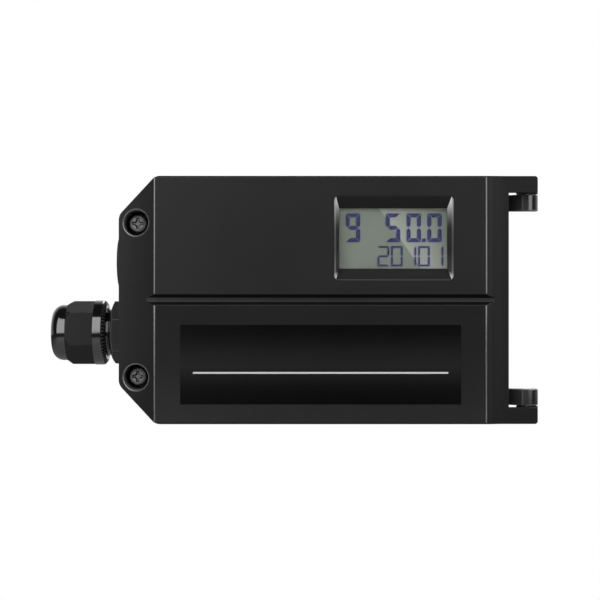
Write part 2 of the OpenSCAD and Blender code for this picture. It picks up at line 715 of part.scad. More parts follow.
module feedback_shaft() color([0.74, 0.75, 0.76]) difference() {
    union() {
        disc(0, 0, shaft_out, shaft_out - y_wheel, shaft_r);
        disc(0, 0, 0.5, 1 - y_collar, bearing_r);
        disc(0, 0, y_collar, 1.6, bearing_r + 1.6);
        disc(0, 0, y_wheel + 1, y_wheel + 1 - y_plate_front + 2.4, journal_r);
    }
    translate([-20, shaft_out - flat_l, shaft_r - flat_d]) cube([40, flat_l + 1, 10]);
}
module shaft_bush() color([0.72, 0.52, 0.28]) {
    ring(0, 0, -3, boss_len - 3, bush_r, bearing_r + run_gap);
    ring(0, 0, y_boss, 1, bush_r + 2, bearing_r + run_gap);
}
module shaft_seal() color([0.12, 0.12, 0.12]) ring(0, 0, -0.3, 2.7, seal_r, bearing_r + run_gap);
module shaft_gear() color([0.9, 0.88, 0.8]) difference() {
    union() {
        slab(y_gear, gear_t) polygon(gear_outline(gear_m, gear_z));
        disc(0, 0, y_gear, gear_t + 1.8, shaft_r + 3);
    }
    disc(0, 0, y_gear + 1, gear_t + 4, shaft_r);
    for (a = [30:60:330]) rotate([0, a, 0]) disc(gear_rp * 0.66, 0, y_gear + 1, gear_t + 4, gear_rp * 0.17);
}
module adjusting_wheel() color([0.85, 0.65, 0.1]) difference() {
    union() {
        slab(y_wheel, wheel_t) difference() {
            circle(wheel_r);
            for (a = [0:20:340]) rotate(a) translate([wheel_r + 0.8, 0]) circle(1.6);
        }
        disc(0, 0, y_wheel, wheel_t + 3.8, journal_r + 3);
    }
    disc(0, 0, y_wheel + 1, wheel_t + 6, journal_r);
}
module retaining_ring() color([0.5, 0.5, 0.52])
    ring(0, 0, y_plate_front - 0.3, 0.8, journal_r + 2, journal_r);

module gear_plate() color([0.7, 0.71, 0.72]) slab(y_plate, plate_t) difference() {
    union() {
        polygon([gear_posts[0] + [2, 4], gear_posts[1] + [4, 0], [pot_x - 4, 8], [pot_x - 4, -8],
            gear_posts[2] + [4, 0], gear_posts[0] + [2, -4]]);
        for (p = gear_posts) translate(p) circle(5);
        translate([pot_x, 0]) circle(pot_r + 1.5);
    }
    circle(journal_r + run_gap);
    translate([pot_x, 0]) circle(3.1 + seat_gap);
    for (p = gear_posts) translate(p) circle(1.25 + loose_gap);
}
module small_screw(x, y, z, l) frontward(x, y, z) {
    difference() {
        cylinder(r = 2.4, h = 1.8);
        for (a = [0, 90]) rotate(a) translate([0, 0, 1.8]) cube([0.7, 3, 1.8], center = true);
    }
    translate([0, 0, -l]) cylinder(r = 1.25, h = l + 0.5);
}
module gear_plate_screws() color([0.66, 0.66, 0.67])
    for (p = gear_posts) small_screw(p[0], y_plate_front, p[1], plate_t + 6);

module potentiometer() color([0.15, 0.3, 0.55]) difference() {
    union() {
        disc(pot_x, 0, y_plate_front, pot_l, pot_r);
        disc(pot_x, 0, y_plate + 3.4, plate_t + 4.4, 3.1);
    }
    disc(pot_x, 0, y_plate + 5, plate_t + 8, pot_shaft_r + run_gap);
}
module potentiometer_nut() color([0.78, 0.78, 0.76]) frontward(pot_x, y_plate + 2.2, 0) difference() {
    hex(9, 2.2);
    translate([0, 0, -1]) cylinder(r = 3.1, h = 5);
}
module potentiometer_rotor() color([0.8, 0.8, 0.78])
    disc(pot_x, 0, y_gear + 0.8, y_gear + 0.8 - y_plate_front + 2.5, pot_shaft_r);
module pinion() color([0.9, 0.88, 0.8]) slab(y_gear, gear_t) translate([pot_x, 0]) difference() {
    rotate(180 / pinion_z) polygon(gear_outline(gear_m, pinion_z));
    circle(pot_shaft_r);
}

module pneumatic_block() color([0.62, 0.64, 0.66]) difference() {
    union() {
        translate([block_x0, y_block, -block_h / 2]) cube([block_w, block_d, block_h]);
        along_x(block_x1 - 1, body_right + nose_out - block_x1 + 1) translate([-port_y, 0])
            rounded_rect(nose_d, nose_h, 3);
    }
    for (k = [-1:1]) translate([body_right + nose_out - port_l - k * port_step, -port_y, k * port_pitch])
        rotate([0, 90, 0]) cylinder(r = port_r, h = port_l + k * port_step + 1);
    for (s = [-1, 1]) {
        disc(throttle_x, s * throttle_z, y_block + 7, 9, throttle_r + run_gap);
        disc(block_x0 + 5, s * (block_h / 2 - 6), y_floor + 1, block_d + 2, 2 + loose_gap);
    }
}
module port_gasket() color([0.2, 0.2, 0.21]) along_x(block_x1, port_gasket_t) translate([-port_y, 0]) difference() {
    rounded_rect(nose_d + 3.6, nose_h + 5, 3);
    rounded_rect(nose_d + 0.4, nose_h + 0.4, 3);
}
module block_screws() color([0.66, 0.66, 0.67]) for (s = [-1, 1])
    frontward(block_x0 + 5, y_block, s * (block_h / 2 - 6)) {
        difference() {
            cylinder(r = 3.5, h = 3);
            translate([0, 0, 3]) cylinder(r = 1.7, h = 3.4, center = true, $fn = 6);
        }
        translate([0, 0, -block_d - 2.5]) cylinder(r = 2, h = block_d + 3);
    }
module pilot_valve() color([0.2, 0.22, 0.24]) {
    translate([block_x0 + 8, y_block - pilot_t, -15]) cube([block_w - 10, pilot_t, 30]);
}
module throttle() difference() {
    union() {
        translate([0, 0, -6]) cylinder(r = throttle_r, h = 7);
        cylinder(r = throttle_r + 1, h = 2.4);
    }
    translate([0, 0, 2.4]) cube([0.9, 12, 2.4], center = true);
}
module upper_throttle() color([0.8, 0.66, 0.36]) frontward(throttle_x, y_block - 0.1, throttle_z) throttle();
module lower_throttle() color([0.8, 0.66, 0.36]) frontward(throttle_x, y_block - 0.1, -throttle_z) throttle();
module exhaust_silencer() color([0.66, 0.52, 0.3])
    disc((block_x0 + block_x1) / 2, 0, y_back - 0.4, floor_t - 0.4, silencer_r);

module main_board() color([0.1, 0.36, 0.2]) slab(y_board, board_t) difference() {
    polygon([[board_x0, 4 - board_h], [board_x0 + 4, -board_h], [board_x1, -board_h], [board_x1, board_h],
        [board_x0 + 4, board_h], [board_x0, board_h - 4]]);
    for (s = [-1, 1]) {
        translate([post_l[0], s * post_l[1]]) circle(1.25 + loose_gap);
        translate([post_r[0], s * post_r[1]]) circle(1.25 + loose_gap);
    }
}
module board_screws() color([0.66, 0.66, 0.67]) for (s = [-1, 1]) {
    small_screw(post_l[0], y_board_front, s * post_l[1], board_t + 5);
    small_screw(post_r[0], y_board_front, s * post_r[1], board_t + 5);
}
module board_components() color([0.13, 0.13, 0.14]) {
    x = shroud_x0 + 0.73 * converter_l;
    slab(y_board_front, chip_h) translate([x, 0.46 * board_h]) square([chip_w, chip_w], center = true);
    slab(y_board_front, converter_h) translate([x, -0.15 * board_h]) square([converter_l, converter_w], center = true);
    for (k = [0:2])
        disc(shroud_x0 + capacitor_r * (2.5 + 2.75 * k), -0.66 * board_h, y_board_front, capacitor_h, capacitor_r);
}
module terminal_block() color([0.12, 0.34, 0.2]) difference() {
    x0 = board_x0 + 1.5;
    l = (terminal_count + 2 / 3) * terminal_pitch;
    translate([x0, y_board_front - terminal_h, -l / 2]) cube([terminal_w, terminal_h, l]);
    for (k = [0:terminal_count - 1]) {
        z = (k - (terminal_count - 1) / 2) * terminal_pitch;
        disc(x0 + 0.5625 * terminal_w, z, y_board_front - terminal_h + 5, 8, 0.37 * terminal_pitch);
        translate([x0 - 1, y_board_front - 5.6, z - terminal_pitch / 3])
            cube([0.44 * terminal_w, 4, terminal_pitch / 1.5]);
    }
}
module terminal_screws() color([0.7, 0.7, 0.7]) for (k = [0:terminal_count - 1]) {
    z = (k - (terminal_count - 1) / 2) * terminal_pitch;
    frontward(board_x0 + 1.5 + 0.5625 * terminal_w, y_board_front - terminal_h + 5, z) difference() {
        cylinder(r = 0.35 * terminal_pitch, h = 2.4);
        rotate(20 + 31 * k) translate([0, 0, 2.4]) cube([0.7, 9, 1.8], center = true);
    }
}
module key_switches() color([0.25, 0.25, 0.26]) for (x = key_x) {
    translate([x - 3, y_board_front - switch_h + 0.6, key_z - 3]) cube([6, switch_h - 0.6, 6]);
    disc(x, key_z, y_board_front - switch_h + 1, 1, 1.7);
}
module electronics_cover() color([0.42, 0.43, 0.45]) difference() {
    y0 = y_shroud + shroud_t;
    slab(y_board_front, shroud_h) translate([(shroud_x0 + board_x1) / 2, 0])
        rounded_rect(board_x1 - shroud_x0, 2 * shroud_z, 2);
    slab(y_board_front + 1, y_board_front + 1 - y0) translate([(shroud_x0 + board_x1) / 2, 0])
        rounded_rect(board_x1 - shroud_x0 - 2 * shroud_t, 2 * shroud_z - 2 * shroud_t, 1);
    for (x = key_x) disc(x, key_z, y0 + 1, shroud_t + 2, key_r + key_gap);
}
module key(x) {
    y0 = y_board_front - switch_h - key_travel - 0.15;
    disc(x, key_z, y0, y0 - y_shroud + key_out, key_r);
    disc(x, key_z, y_shroud + shroud_t + 1.3, 1.15, key_r + 1.1);
}
module hand_key() color([0.8, 0.8, 0.78]) key(key_x[0]);
module up_key() color([0.8, 0.8, 0.78]) key(key_x[1]);
module down_key() color([0.8, 0.8, 0.78]) key(key_x[2]);

module display_module() color([0.2, 0.2, 0.21]) difference() {
    slab(y_shroud, y_shroud - y_display) translate([frame_x, frame_z]) rounded_rect(view_w + 4.2, view_h + 5.6, 1);
    slab(y_display + glass_t, glass_t + 1) translate([frame_x, frame_z])
        square([view_w + 1.2, view_h + 1.2], center = true);
}
module display_glass() color([0.48, 0.52, 0.46]) slab(y_display + glass_t, glass_t)
    translate([frame_x, frame_z]) square([view_w + 1.1, view_h + 1.1], center = true);

base_housing();
mounting_inserts();
screw_inserts();
hinge_pins();
front_cover();
cover_gasket();
window_frame();
display_window();
front_label();
upper_cover_screw();
upper_screw_seal();
lower_cover_screw();
lower_screw_seal();
gland_washer();
gland_body();
gland_seal();
gland_cage();
gland_slip_ring();
gland_dome_nut();
gland_lock_nut();
blanking_plug();
plug_washer();
plug_lock_nut();
feedback_shaft();
shaft_bush();
shaft_seal();
shaft_gear();
adjusting_wheel();
retaining_ring();
gear_plate();
gear_plate_screws();
potentiometer();
potentiometer_nut();
potentiometer_rotor();
pinion();
pneumatic_block();
port_gasket();
block_screws();
pilot_valve();
upper_throttle();
lower_throttle();
exhaust_silencer();
main_board();
board_screws();
board_components();
terminal_block();
terminal_screws();
key_switches();
electronics_cover();
hand_key();
up_key();
down_key();
display_module();
display_glass();
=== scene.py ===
import itertools
import json
import math

import bmesh
import bpy
from mathutils import Matrix, Vector
from mathutils.geometry import intersect_point_line

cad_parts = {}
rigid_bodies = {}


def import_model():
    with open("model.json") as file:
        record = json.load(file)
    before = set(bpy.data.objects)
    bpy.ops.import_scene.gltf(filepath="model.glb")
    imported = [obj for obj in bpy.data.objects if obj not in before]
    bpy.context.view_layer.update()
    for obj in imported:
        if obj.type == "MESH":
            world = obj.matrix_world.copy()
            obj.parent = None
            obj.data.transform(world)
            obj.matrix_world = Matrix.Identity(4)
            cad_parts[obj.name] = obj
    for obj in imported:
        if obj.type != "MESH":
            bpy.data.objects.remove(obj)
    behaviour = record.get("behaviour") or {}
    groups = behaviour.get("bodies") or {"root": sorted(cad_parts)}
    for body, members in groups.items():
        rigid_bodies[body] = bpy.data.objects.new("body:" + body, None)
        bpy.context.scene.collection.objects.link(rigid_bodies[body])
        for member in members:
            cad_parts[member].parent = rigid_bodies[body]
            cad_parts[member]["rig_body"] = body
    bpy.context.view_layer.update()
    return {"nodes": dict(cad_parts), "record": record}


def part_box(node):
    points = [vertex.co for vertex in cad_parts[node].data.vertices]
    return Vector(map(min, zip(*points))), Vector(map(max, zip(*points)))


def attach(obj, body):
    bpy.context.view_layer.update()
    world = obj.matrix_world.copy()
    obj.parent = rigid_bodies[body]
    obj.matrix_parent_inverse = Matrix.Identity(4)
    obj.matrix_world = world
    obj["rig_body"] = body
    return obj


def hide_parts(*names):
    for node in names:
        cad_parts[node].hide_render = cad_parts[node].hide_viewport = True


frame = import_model()
nodes = frame["nodes"]
scene = bpy.context.scene
mm = 0.001
print("frame loaded,", len(nodes), "nodes")


def feed(tree, socket, value):
    # a number, colour or vector is set on the socket, and an output is linked to it
    if isinstance(value, (int, float, tuple)):
        socket.default_value = value
    else:
        tree.links.new(value, socket)


def mathNode(tree, operation, *values):
    node = tree.nodes.new("ShaderNodeMath")
    node.operation = operation
    for socket, value in zip(node.inputs, values):
        feed(tree, socket, value)
    return node.outputs[0]


def mixFloat(tree, factor, first, second):
    node = tree.nodes.new("ShaderNodeMix")
    for number, value in ((0, factor), (2, first), (3, second)):
        feed(tree, node.inputs[number], value)
    return node.outputs[0]


def mixColour(tree, factor, first, second, blend="MIX"):
    node = tree.nodes.new("ShaderNodeMix")
    node.data_type = "RGBA"
    node.blend_type = blend
    for number, value in ((0, factor), (6, first), (7, second)):
        feed(tree, node.inputs[number], value)
    return node.outputs[2]


def mapRange(tree, value, low, high, lowResult=0.0, highResult=1.0):
    node = tree.nodes.new("ShaderNodeMapRange")
    for socket, setting in zip(node.inputs, (value, low, high, lowResult, highResult)):
        feed(tree, socket, setting)
    return node.outputs[0]


def noiseNode(tree, vector, scale, detail=3.0):
    node = tree.nodes.new("ShaderNodeTexNoise")
    for key, value in (("Vector", vector), ("Scale", scale), ("Detail", detail)):
        feed(tree, node.inputs[key], value)
    return node.outputs["Fac"]


def bumpNode(tree, height, strength, distance):
    node = tree.nodes.new("ShaderNodeBump")
    for key, value in (("Height", height), ("Strength", strength), ("Distance", distance)):
        feed(tree, node.inputs[key], value)
    return node


def objectPlace(tree):
    return tree.nodes.new("ShaderNodeTexCoord").outputs["Object"]


def splitVector(tree, vector):
    split = tree.nodes.new("ShaderNodeSeparateXYZ")
    tree.links.new(vector, split.inputs[0])
    return split.outputs


def newFinish(name):
    material = bpy.data.materials.new(name)
    material.use_nodes = True
    return material, material.node_tree, material.node_tree.nodes["Principled BSDF"]


def newObject(bm, name):
    mesh = bpy.data.meshes.new(name)
    bm.to_mesh(mesh)
    bm.free()
    made = bpy.data.objects.new(name, mesh)
    scene.collection.objects.link(made)
    return made


# camera, lamps, room and floor
studio = {
    "cameraPlace": (-0.005, -0.632, 0.0),
    "lens": 88.0,
    "sensor": 36.0,
    "aim": (0, -0.04, 0),  # what the lamps point at
    "floorHeight": -0.45,
    "floorSize": 6.0,
    "floorColour": (0.60, 0.60, 0.60, 1),
    "floorRoughness": 0.9,
    "backWhite": 1.0,
    "ambient": 0.10,
    "frontGloss": 0.03,  # what polished faces see behind the camera
    "rearGloss": 0.9,  # and behind the object
    "glossRange": (-0.3, 0.45),  # from the one to the other
    "glossTilt": -0.9,  # the room dims upwards
}

lamps = {
    # turn from the front and lift in degrees, distance and size in metres, power in watts
    "leftBox": {"turn": -29.5, "lift": 27, "away": 1.25, "size": (0.93, 1.40), "power": 14.8},
    "rightBox": {"turn": 31, "lift": 27, "away": 1.25, "size": (0.80, 1.40), "power": 10.0},
    "rearBox": {"turn": 165, "lift": 35, "away": 1.5, "size": (1.0, 0.8), "power": 9.0},
}


def setCamera():
    camera = bpy.data.objects.new("camera", bpy.data.cameras.new("camera"))
    camera.data.lens = studio["lens"]
    camera.data.sensor_width = studio["sensor"]
    camera.location = studio["cameraPlace"]
    camera.rotation_euler = (math.radians(90), 0, 0)
    scene.collection.objects.link(camera)
    scene.camera = camera


def setLamps():
    for name, values in lamps.items():
        turn, lift = math.radians(values["turn"]), math.radians(values["lift"])
        toLamp = Vector((math.sin(turn) * math.cos(lift), -math.cos(turn) * math.cos(lift), math.sin(lift)))
        lamp = bpy.data.lights.new(name, "AREA")
        lamp.shape = "RECTANGLE"
        lamp.size, lamp.size_y = values["size"]
        lamp.energy = values["power"]
        holder = bpy.data.objects.new(name, lamp)
        holder.location = Vector(studio["aim"]) + toLamp * values["away"]
        holder.rotation_euler = toLamp.to_track_quat("Z", "Y").to_euler()
        holder.visible_camera = False
        scene.collection.objects.link(holder)


def setWorld():
    # the camera sees white, also through the window, and polished faces see the room
    world = bpy.data.worlds.new("studioWorld")
    scene.world = world
    world.use_nodes = True
    tree = world.node_tree
    path = tree.nodes.new("ShaderNodeLightPath").outputs
    way = splitVector(tree, tree.nodes.new("ShaderNodeTexCoord").outputs["Generated"])
    behind = mathNode(tree, "MULTIPLY_ADD", way["Z"], studio["glossTilt"], way["Y"])
    room = mapRange(tree, behind, *studio["glossRange"], studio["frontGloss"], studio["rearGloss"])
    gloss = mixFloat(tree, path["Is Glossy Ray"], studio["ambient"], room)
    through = mathNode(tree, "GREATER_THAN", path["Is Transmission Ray"], path["Diffuse Depth"])
    seen = mathNode(tree, "MAXIMUM", path["Is Camera Ray"], through)
    background = tree.nodes["Background"].inputs
    feed(tree, background["Strength"], mixFloat(tree, seen, gloss, studio["backWhite"]))
    feed(tree, background["Color"], (1, 1, 1, 1))


def makeFloor():
    bm = bmesh.new()
    bmesh.ops.create_grid(bm, x_segments=1, y_segments=1, size=studio["floorSize"])
    bmesh.ops.translate(bm, verts=bm.verts, vec=(0, 0, studio["floorHeight"]))
    floor = newObject(bm, "floor")
    material, tree, shader = newFinish("paleFloor")
    feed(tree, shader.inputs["Base Color"], studio["floorColour"])
    feed(tree, shader.inputs["Roughness"], studio["floorRoughness"])
    path = tree.nodes.new("ShaderNodeLightPath").outputs
    seen = mathNode(tree, "MAXIMUM", path["Is Camera Ray"], path["Is Transmission Ray"])
    glow = tree.nodes.new("ShaderNodeEmission")
    mix = tree.nodes.new("ShaderNodeMixShader")
    for socket, value in zip(mix.inputs, (seen, shader.outputs[0], glow.outputs[0])):
        feed(tree, socket, value)
    tree.links.new(mix.outputs[0], tree.nodes["Material Output"].inputs["Surface"])
    floor.data.materials.append(material)


setCamera()
setLamps()
setWorld()
makeFloor()
scene.view_settings.view_transform = "Standard"
print("studio ready")


# shader groups that several finishes share
def groupShell(name, inputs):
    group = bpy.data.node_groups.new(name, "ShaderNodeTree")
    for label, kind, value in inputs:
        socket = group.interface.new_socket(label, in_out="INPUT", socket_type="NodeSocket" + kind)
        socket.default_value = value
    for label, kind in (("Colour", "Color"), ("Roughness", "Float"), ("Normal", "Vector")):
        group.interface.new_socket(label, in_out="OUTPUT", socket_type="NodeSocket" + kind)
    return group, group.nodes.new("NodeGroupInput").outputs, group.nodes.new("NodeGroupOutput").inputs


skin = {
    "patchScale": 45.0,
    "patchTone": (0.35, 0.825),  # span and least share of the colour
    "patchRough": 0.10,  # span of the roughness
    "wearScale": 420.0,
    "wearShare": (0.7, 0.55),  # span and least share of the wear
    "wearAndSheenColour": (0.16, 0.16, 0.165, 1),
    "grainHeight": 0.06 * mm,
}


def makeMouldedSkin():
    # moulded plastic or rubber: fine grain, slight mottling, rubbed edges, and a painted sheen where the
    # front cover's creases and bore rims are marked
    group, given, result = groupShell("mouldedSkin", [
        ("Colour", "Color", (0.02, 0.02, 0.02, 1)), ("Roughness", "Float", 0.4), ("Grain", "Float", 2600.0),
        ("Depth", "Float", 0.12), ("Rub", "Float", 0.3),
    ])
    place = objectPlace(group)
    broad = noiseNode(group, place, skin["patchScale"], 4.0)
    mottle = mathNode(group, "MULTIPLY_ADD", broad, *skin["patchTone"])
    toned = mixColour(group, 1.0, given["Colour"], mottle, "MULTIPLY")
    edge = group.nodes.new("ShaderNodeAttribute")
    edge.attribute_name = "edgeWearAndSheen"
    scuffs = noiseNode(group, place, skin["wearScale"], 5.0)
    broken = mathNode(group, "MULTIPLY_ADD", scuffs, *skin["wearShare"])
    patchy = mathNode(group, "MULTIPLY", broken, edge.outputs["Fac"])
    wearAndSheenAmount = mathNode(group, "MULTIPLY", patchy, given["Rub"])
    least = mathNode(group, "SUBTRACT", given["Roughness"], skin["patchRough"] / 2)
    bump = bumpNode(group, noiseNode(group, place, given["Grain"]), given["Depth"], skin["grainHeight"])
    feed(group, result["Colour"], mixColour(group, wearAndSheenAmount, toned, skin["wearAndSheenColour"]))
    feed(group, result["Roughness"], mathNode(group, "MULTIPLY_ADD", broad, skin["patchRough"], least))
    feed(group, result["Normal"], bump.outputs[0])
    return group


machined = {
    "patchScale": 160.0,
    "patchPower": 3.0,  # the higher, the fewer patches of tarnish
    "patchShare": 0.9,
    "streakRough": 0.22,  # span of the roughness
    "streakDepth": 0.12,
    "streakHeight": 0.03 * mm,
}


def makeTurnedMetal():
    # drawn or machined metal: streaks along one direction, patchy tarnish
    group, given, result = groupShell("turnedMetal", [
        ("Colour", "Color", (0.6, 0.6, 0.6, 1)), ("Tarnish", "Color", (0.3, 0.3, 0.3, 1)),
        ("Roughness", "Float", 0.3), ("Streak", "Vector", (400.0, 6000.0, 400.0)),
    ])
    place = objectPlace(group)
    stretch = group.nodes.new("ShaderNodeVectorMath")
    stretch.operation = "MULTIPLY"
    feed(group, stretch.inputs[0], place)
    feed(group, stretch.inputs[1], given["Streak"])
    streaks = noiseNode(group, stretch.outputs[0], 1.0, 2.0)
    patches = noiseNode(group, place, machined["patchScale"], 5.0)
    rare = mathNode(group, "POWER", patches, machined["patchPower"])
    dull = mathNode(group, "MULTIPLY", rare, machined["patchShare"])
    least = mathNode(group, "SUBTRACT", given["Roughness"], machined["streakRough"] / 2)
    bump = bumpNode(group, streaks, machined["streakDepth"], machined["streakHeight"])
    feed(group, result["Colour"], mixColour(group, dull, given["Colour"], given["Tarnish"]))
    feed(group, result["Roughness"], mathNode(group, "MULTIPLY_ADD", streaks, machined["streakRough"], least))
    feed(group, result["Normal"], bump.outputs[0])
    return group


mouldedSkin = makeMouldedSkin()
turnedMetal = makeTurnedMetal()


def finishFrom(name, group, values, shaderKey, shaderValue):
    material, tree, shader = newFinish(name)
    shader.inputs[shaderKey].default_value = shaderValue
    user = tree.nodes.new("ShaderNodeGroup")
    user.node_tree = group
    for key, value in values.items():
        user.inputs[key].default_value = value
    for key, target in (("Colour", "Base Color"), ("Roughness", "Roughness"), ("Normal", "Normal")):
        tree.links.new(user.outputs[key], shader.inputs[target])
    return material


def plastic(name, colour, roughness, grain, depth, wearAndSheen, specular):
    values = {"Colour": (*colour, 1), "Roughness": roughness, "Grain": grain, "Depth": depth, "Rub": wearAndSheen}
    return finishFrom(name, mouldedSkin, values, "Specular IOR Level", specular)


def metal(name, colour, tarnish, roughness, streak):
    values = {"Colour": (*colour, 1), "Tarnish": (*tarnish, 1), "Roughness": roughness, "Streak": streak}
    return finishFrom(name, turnedMetal, values, "Metallic", 1.0)


plastics = {
    # colour, roughness, fineness of the grain, its depth, wear where an edge is rubbed (with edgePolish also
    # a painted sheen on creases and bore rims), specular level
    "coverBlack": ((0.004, 0.004, 0.0042), 0.40, 3200, 0.10, 1.0, 0.25),
    "edgePolish": ((0.006, 0.006, 0.0062), 0.24, 3200, 0.04, 1.0, 1.0),
    "ledgeShadedBlack": ((0.0035, 0.0035, 0.0037), 0.42, 3200, 0.10, 1.0, 0.18),
    # the bore walls: painted lighter than the cover, standing in for the light that reaches into the bores
    "borePaintedLight": ((0.11, 0.11, 0.1115), 0.50, 2600, 0.12, 0.0, 0.25),
    # painted shade: near black for the groove walls and the cross recesses of the cover screws
    "paintedShadeBlack": ((0.002, 0.002, 0.0021), 0.60, 2600, 0.12, 0.0, 0.06),
    "screwGrey": ((0.20, 0.20, 0.202), 0.42, 3000, 0.10, 0.0, 0.5),
    "baseBlack": ((0.005, 0.005, 0.0052), 0.45, 2200, 0.20, 0.1, 0.25),
    "glandGloss": ((0.003, 0.003, 0.0032), 0.11, 1600, 0.03, 0.1, 1.0),
    "glandMatte": ((0.014, 0.014, 0.0145), 0.50, 2000, 0.12, 0.05, 0.1),
    # painted light: the nut's teeth are grey, lighter than the black nut, so they catch light
    "toothGrey": ((0.06, 0.06, 0.061), 0.30, 1600, 0.05, 0.0, 1.0),
    "flangeMatte": ((0.026, 0.026, 0.0265), 0.50, 2000, 0.12, 0.3, 0.1),
    "sealRubber": ((0.018, 0.018, 0.018), 0.70, 1800, 0.30, 0.0, 0.5),
    "darkPlastic": ((0.035, 0.035, 0.038), 0.50, 2600, 0.12, 0.3, 0.5),
    "greyPlastic": ((0.26, 0.27, 0.285), 0.48, 2000, 0.20, 0.1, 0.5),
    "whitePlastic": ((0.72, 0.71, 0.66), 0.42, 2600, 0.12, 0.0, 0.5),
    "yellowPlastic": ((0.72, 0.47, 0.05), 0.42, 2600, 0.12, 0.0, 0.5),
    "bluePlastic": ((0.06, 0.16, 0.36), 0.40, 2600, 0.12, 0.1, 0.5),
    "terminalGreen": ((0.06, 0.27, 0.12), 0.45, 2600, 0.12, 0.05, 0.5),
    "sintered": ((0.36, 0.25, 0.12), 0.75, 1500, 1.00, 0.0, 0.5),
}

metals = {
    # colour, tarnish, roughness, fineness of the streaks along X, Y and Z
    "brass": ((0.70, 0.50, 0.22), (0.36, 0.22, 0.09), 0.33, (400.0, 6000.0, 400.0)),
    "screwSteel": ((0.26, 0.26, 0.265), (0.13, 0.13, 0.13), 0.36, (3000.0, 3000.0, 3000.0)),
    "shaftSteel": ((0.62, 0.62, 0.63), (0.34, 0.34, 0.35), 0.28, (400.0, 6000.0, 400.0)),
    "blockMetal": ((0.60, 0.61, 0.63), (0.38, 0.39, 0.41), 0.40, (5000.0, 500.0, 500.0)),
}

finishes = {}
for name, values in plastics.items():
    finishes[name] = plastic(name, *values)
for name, values in metals.items():
    finishes[name] = metal(name, *values)


def boxMask(tree, place, low, high):
    # 1 inside an upright rectangle of X and Z, 0 outside
    mask = 1
    for axis, least, most in (("X", low[0], high[0]), ("Z", low[1], high[1])):
        for operation, edge in (("GREATER_THAN", least), ("LESS_THAN", most)):
            mask = mathNode(tree, "MULTIPLY", mask, mathNode(tree, operation, place[axis], edge))
    return mask


def fadeByHeight(tree, height, low, high, stops):
    fade = tree.nodes.new("ShaderNodeValToRGB")
    while len(fade.color_ramp.elements) < len(stops):
        fade.color_ramp.elements.new(0.5)
    for element, (spot, level) in zip(fade.color_ramp.elements, stops):
        element.position = (spot * mm - low) / (high - low)
        element.color = (level, level, level, 1)
    tree.links.new(mapRange(tree, height, low, high), fade.inputs[0])
    return fade.outputs[0]


def smear(tree, shader, scale, detail, span, least):
    # roughness in soft patches
    patches = noiseNode(tree, objectPlace(tree), scale, detail)
    feed(tree, shader.inputs["Roughness"], mathNode(tree, "MULTIPLY_ADD", patches, span, least))


label = {
    "dark": (0.0013, 0.0013, 0.0014, 1),
    "light": (0.0120, 0.0120, 0.0124, 1),
    # height in mm and share of the lighter tone, a painted sheen band across the label's middle
    "fade": [
        (-39.5, 0.0), (-36.0, 0.06), (-33.0, 0.2), (-29.5, 0.55), (-25.2, 1.0),
        (-20.5, 0.72), (-16.0, 0.3), (-13.0, 0.1), (-9.8, 0.0),
    ],
    "smear": (60.0, 4.0, 0.08, 0.22),  # scale, detail, span and least roughness
    "specular": 0.10,
    "ruleColour": (0.45, 0.45, 0.45, 1),
    "ruleLow": (-45.9 * mm, -28.17 * mm),
    "ruleHigh": (51.6 * mm, -27.48 * mm),
}


def makeLabelFinish():
    low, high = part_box("front_label")
    material, tree, shader = newFinish("labelPaintedSheen")
    place = splitVector(tree, objectPlace(tree))
    # painted sheen: a lighter band across the middle of the label
    fade = fadeByHeight(tree, place["Z"], low.z, high.z, label["fade"])
    ground = mixColour(tree, fade, label["dark"], label["light"])
    rule = boxMask(tree, place, label["ruleLow"], label["ruleHigh"])
    feed(tree, shader.inputs["Base Color"], mixColour(tree, rule, ground, label["ruleColour"]))
    feed(tree, shader.inputs["Specular IOR Level"], label["specular"])
    smear(tree, shader, *label["smear"])
    return material


window = {
    "frameColour": (0.016, 0.016, 0.0162, 1),
    "bevelColour": (0.002, 0.002, 0.0021, 1),
    "paintedReflection": (0.90, 0.90, 0.90, 1),
    # height in mm and share of painted silver reflection, on the upright bevels and on the flat rims beside
    # them
    "bevelFade": [
        (8.0, 1.0), (9.0, 0.95), (10.0, 0.3), (11.0, 0.04), (14.6, 0.03), (19.2, 0.012), (27.6, 0.02),
        (29.2, 0.05), (30.7, 0.105), (32.2, 0.18), (33.8, 0.31), (35.3, 0.5), (36.8, 0.74), (38.4, 1.0),
    ],
    "rimFade": [
        (9.0, 0.35), (10.7, 0.095), (14.5, 0.078), (19.1, 0.043),
        (26.8, 0.06), (30.6, 0.116), (33.6, 0.19), (36.8, 0.29),
    ],
    "bevelLean": 0.4,  # an upright bevel's normal leans at least this far to the side
    "flatFacing": -0.9,
    "rimStart": 22.05 * mm,  # the flat rims begin this far from the frame's middle
    "footRim": (1.95 * mm, 0.05),  # the flat rim below: its height over the frame's foot and share of painted reflection
    "frameSmear": (300.0, 3.0, 0.1, 0.38),
    "specular": 0.05,  # of the frame and the display
    "pane": {"Base Color": (0.97, 0.98, 0.975, 1), "IOR": 1.46, "Transmission Weight": 1.0},
    "paneSmear": (70.0, 4.0, 0.03, 0.01),
}


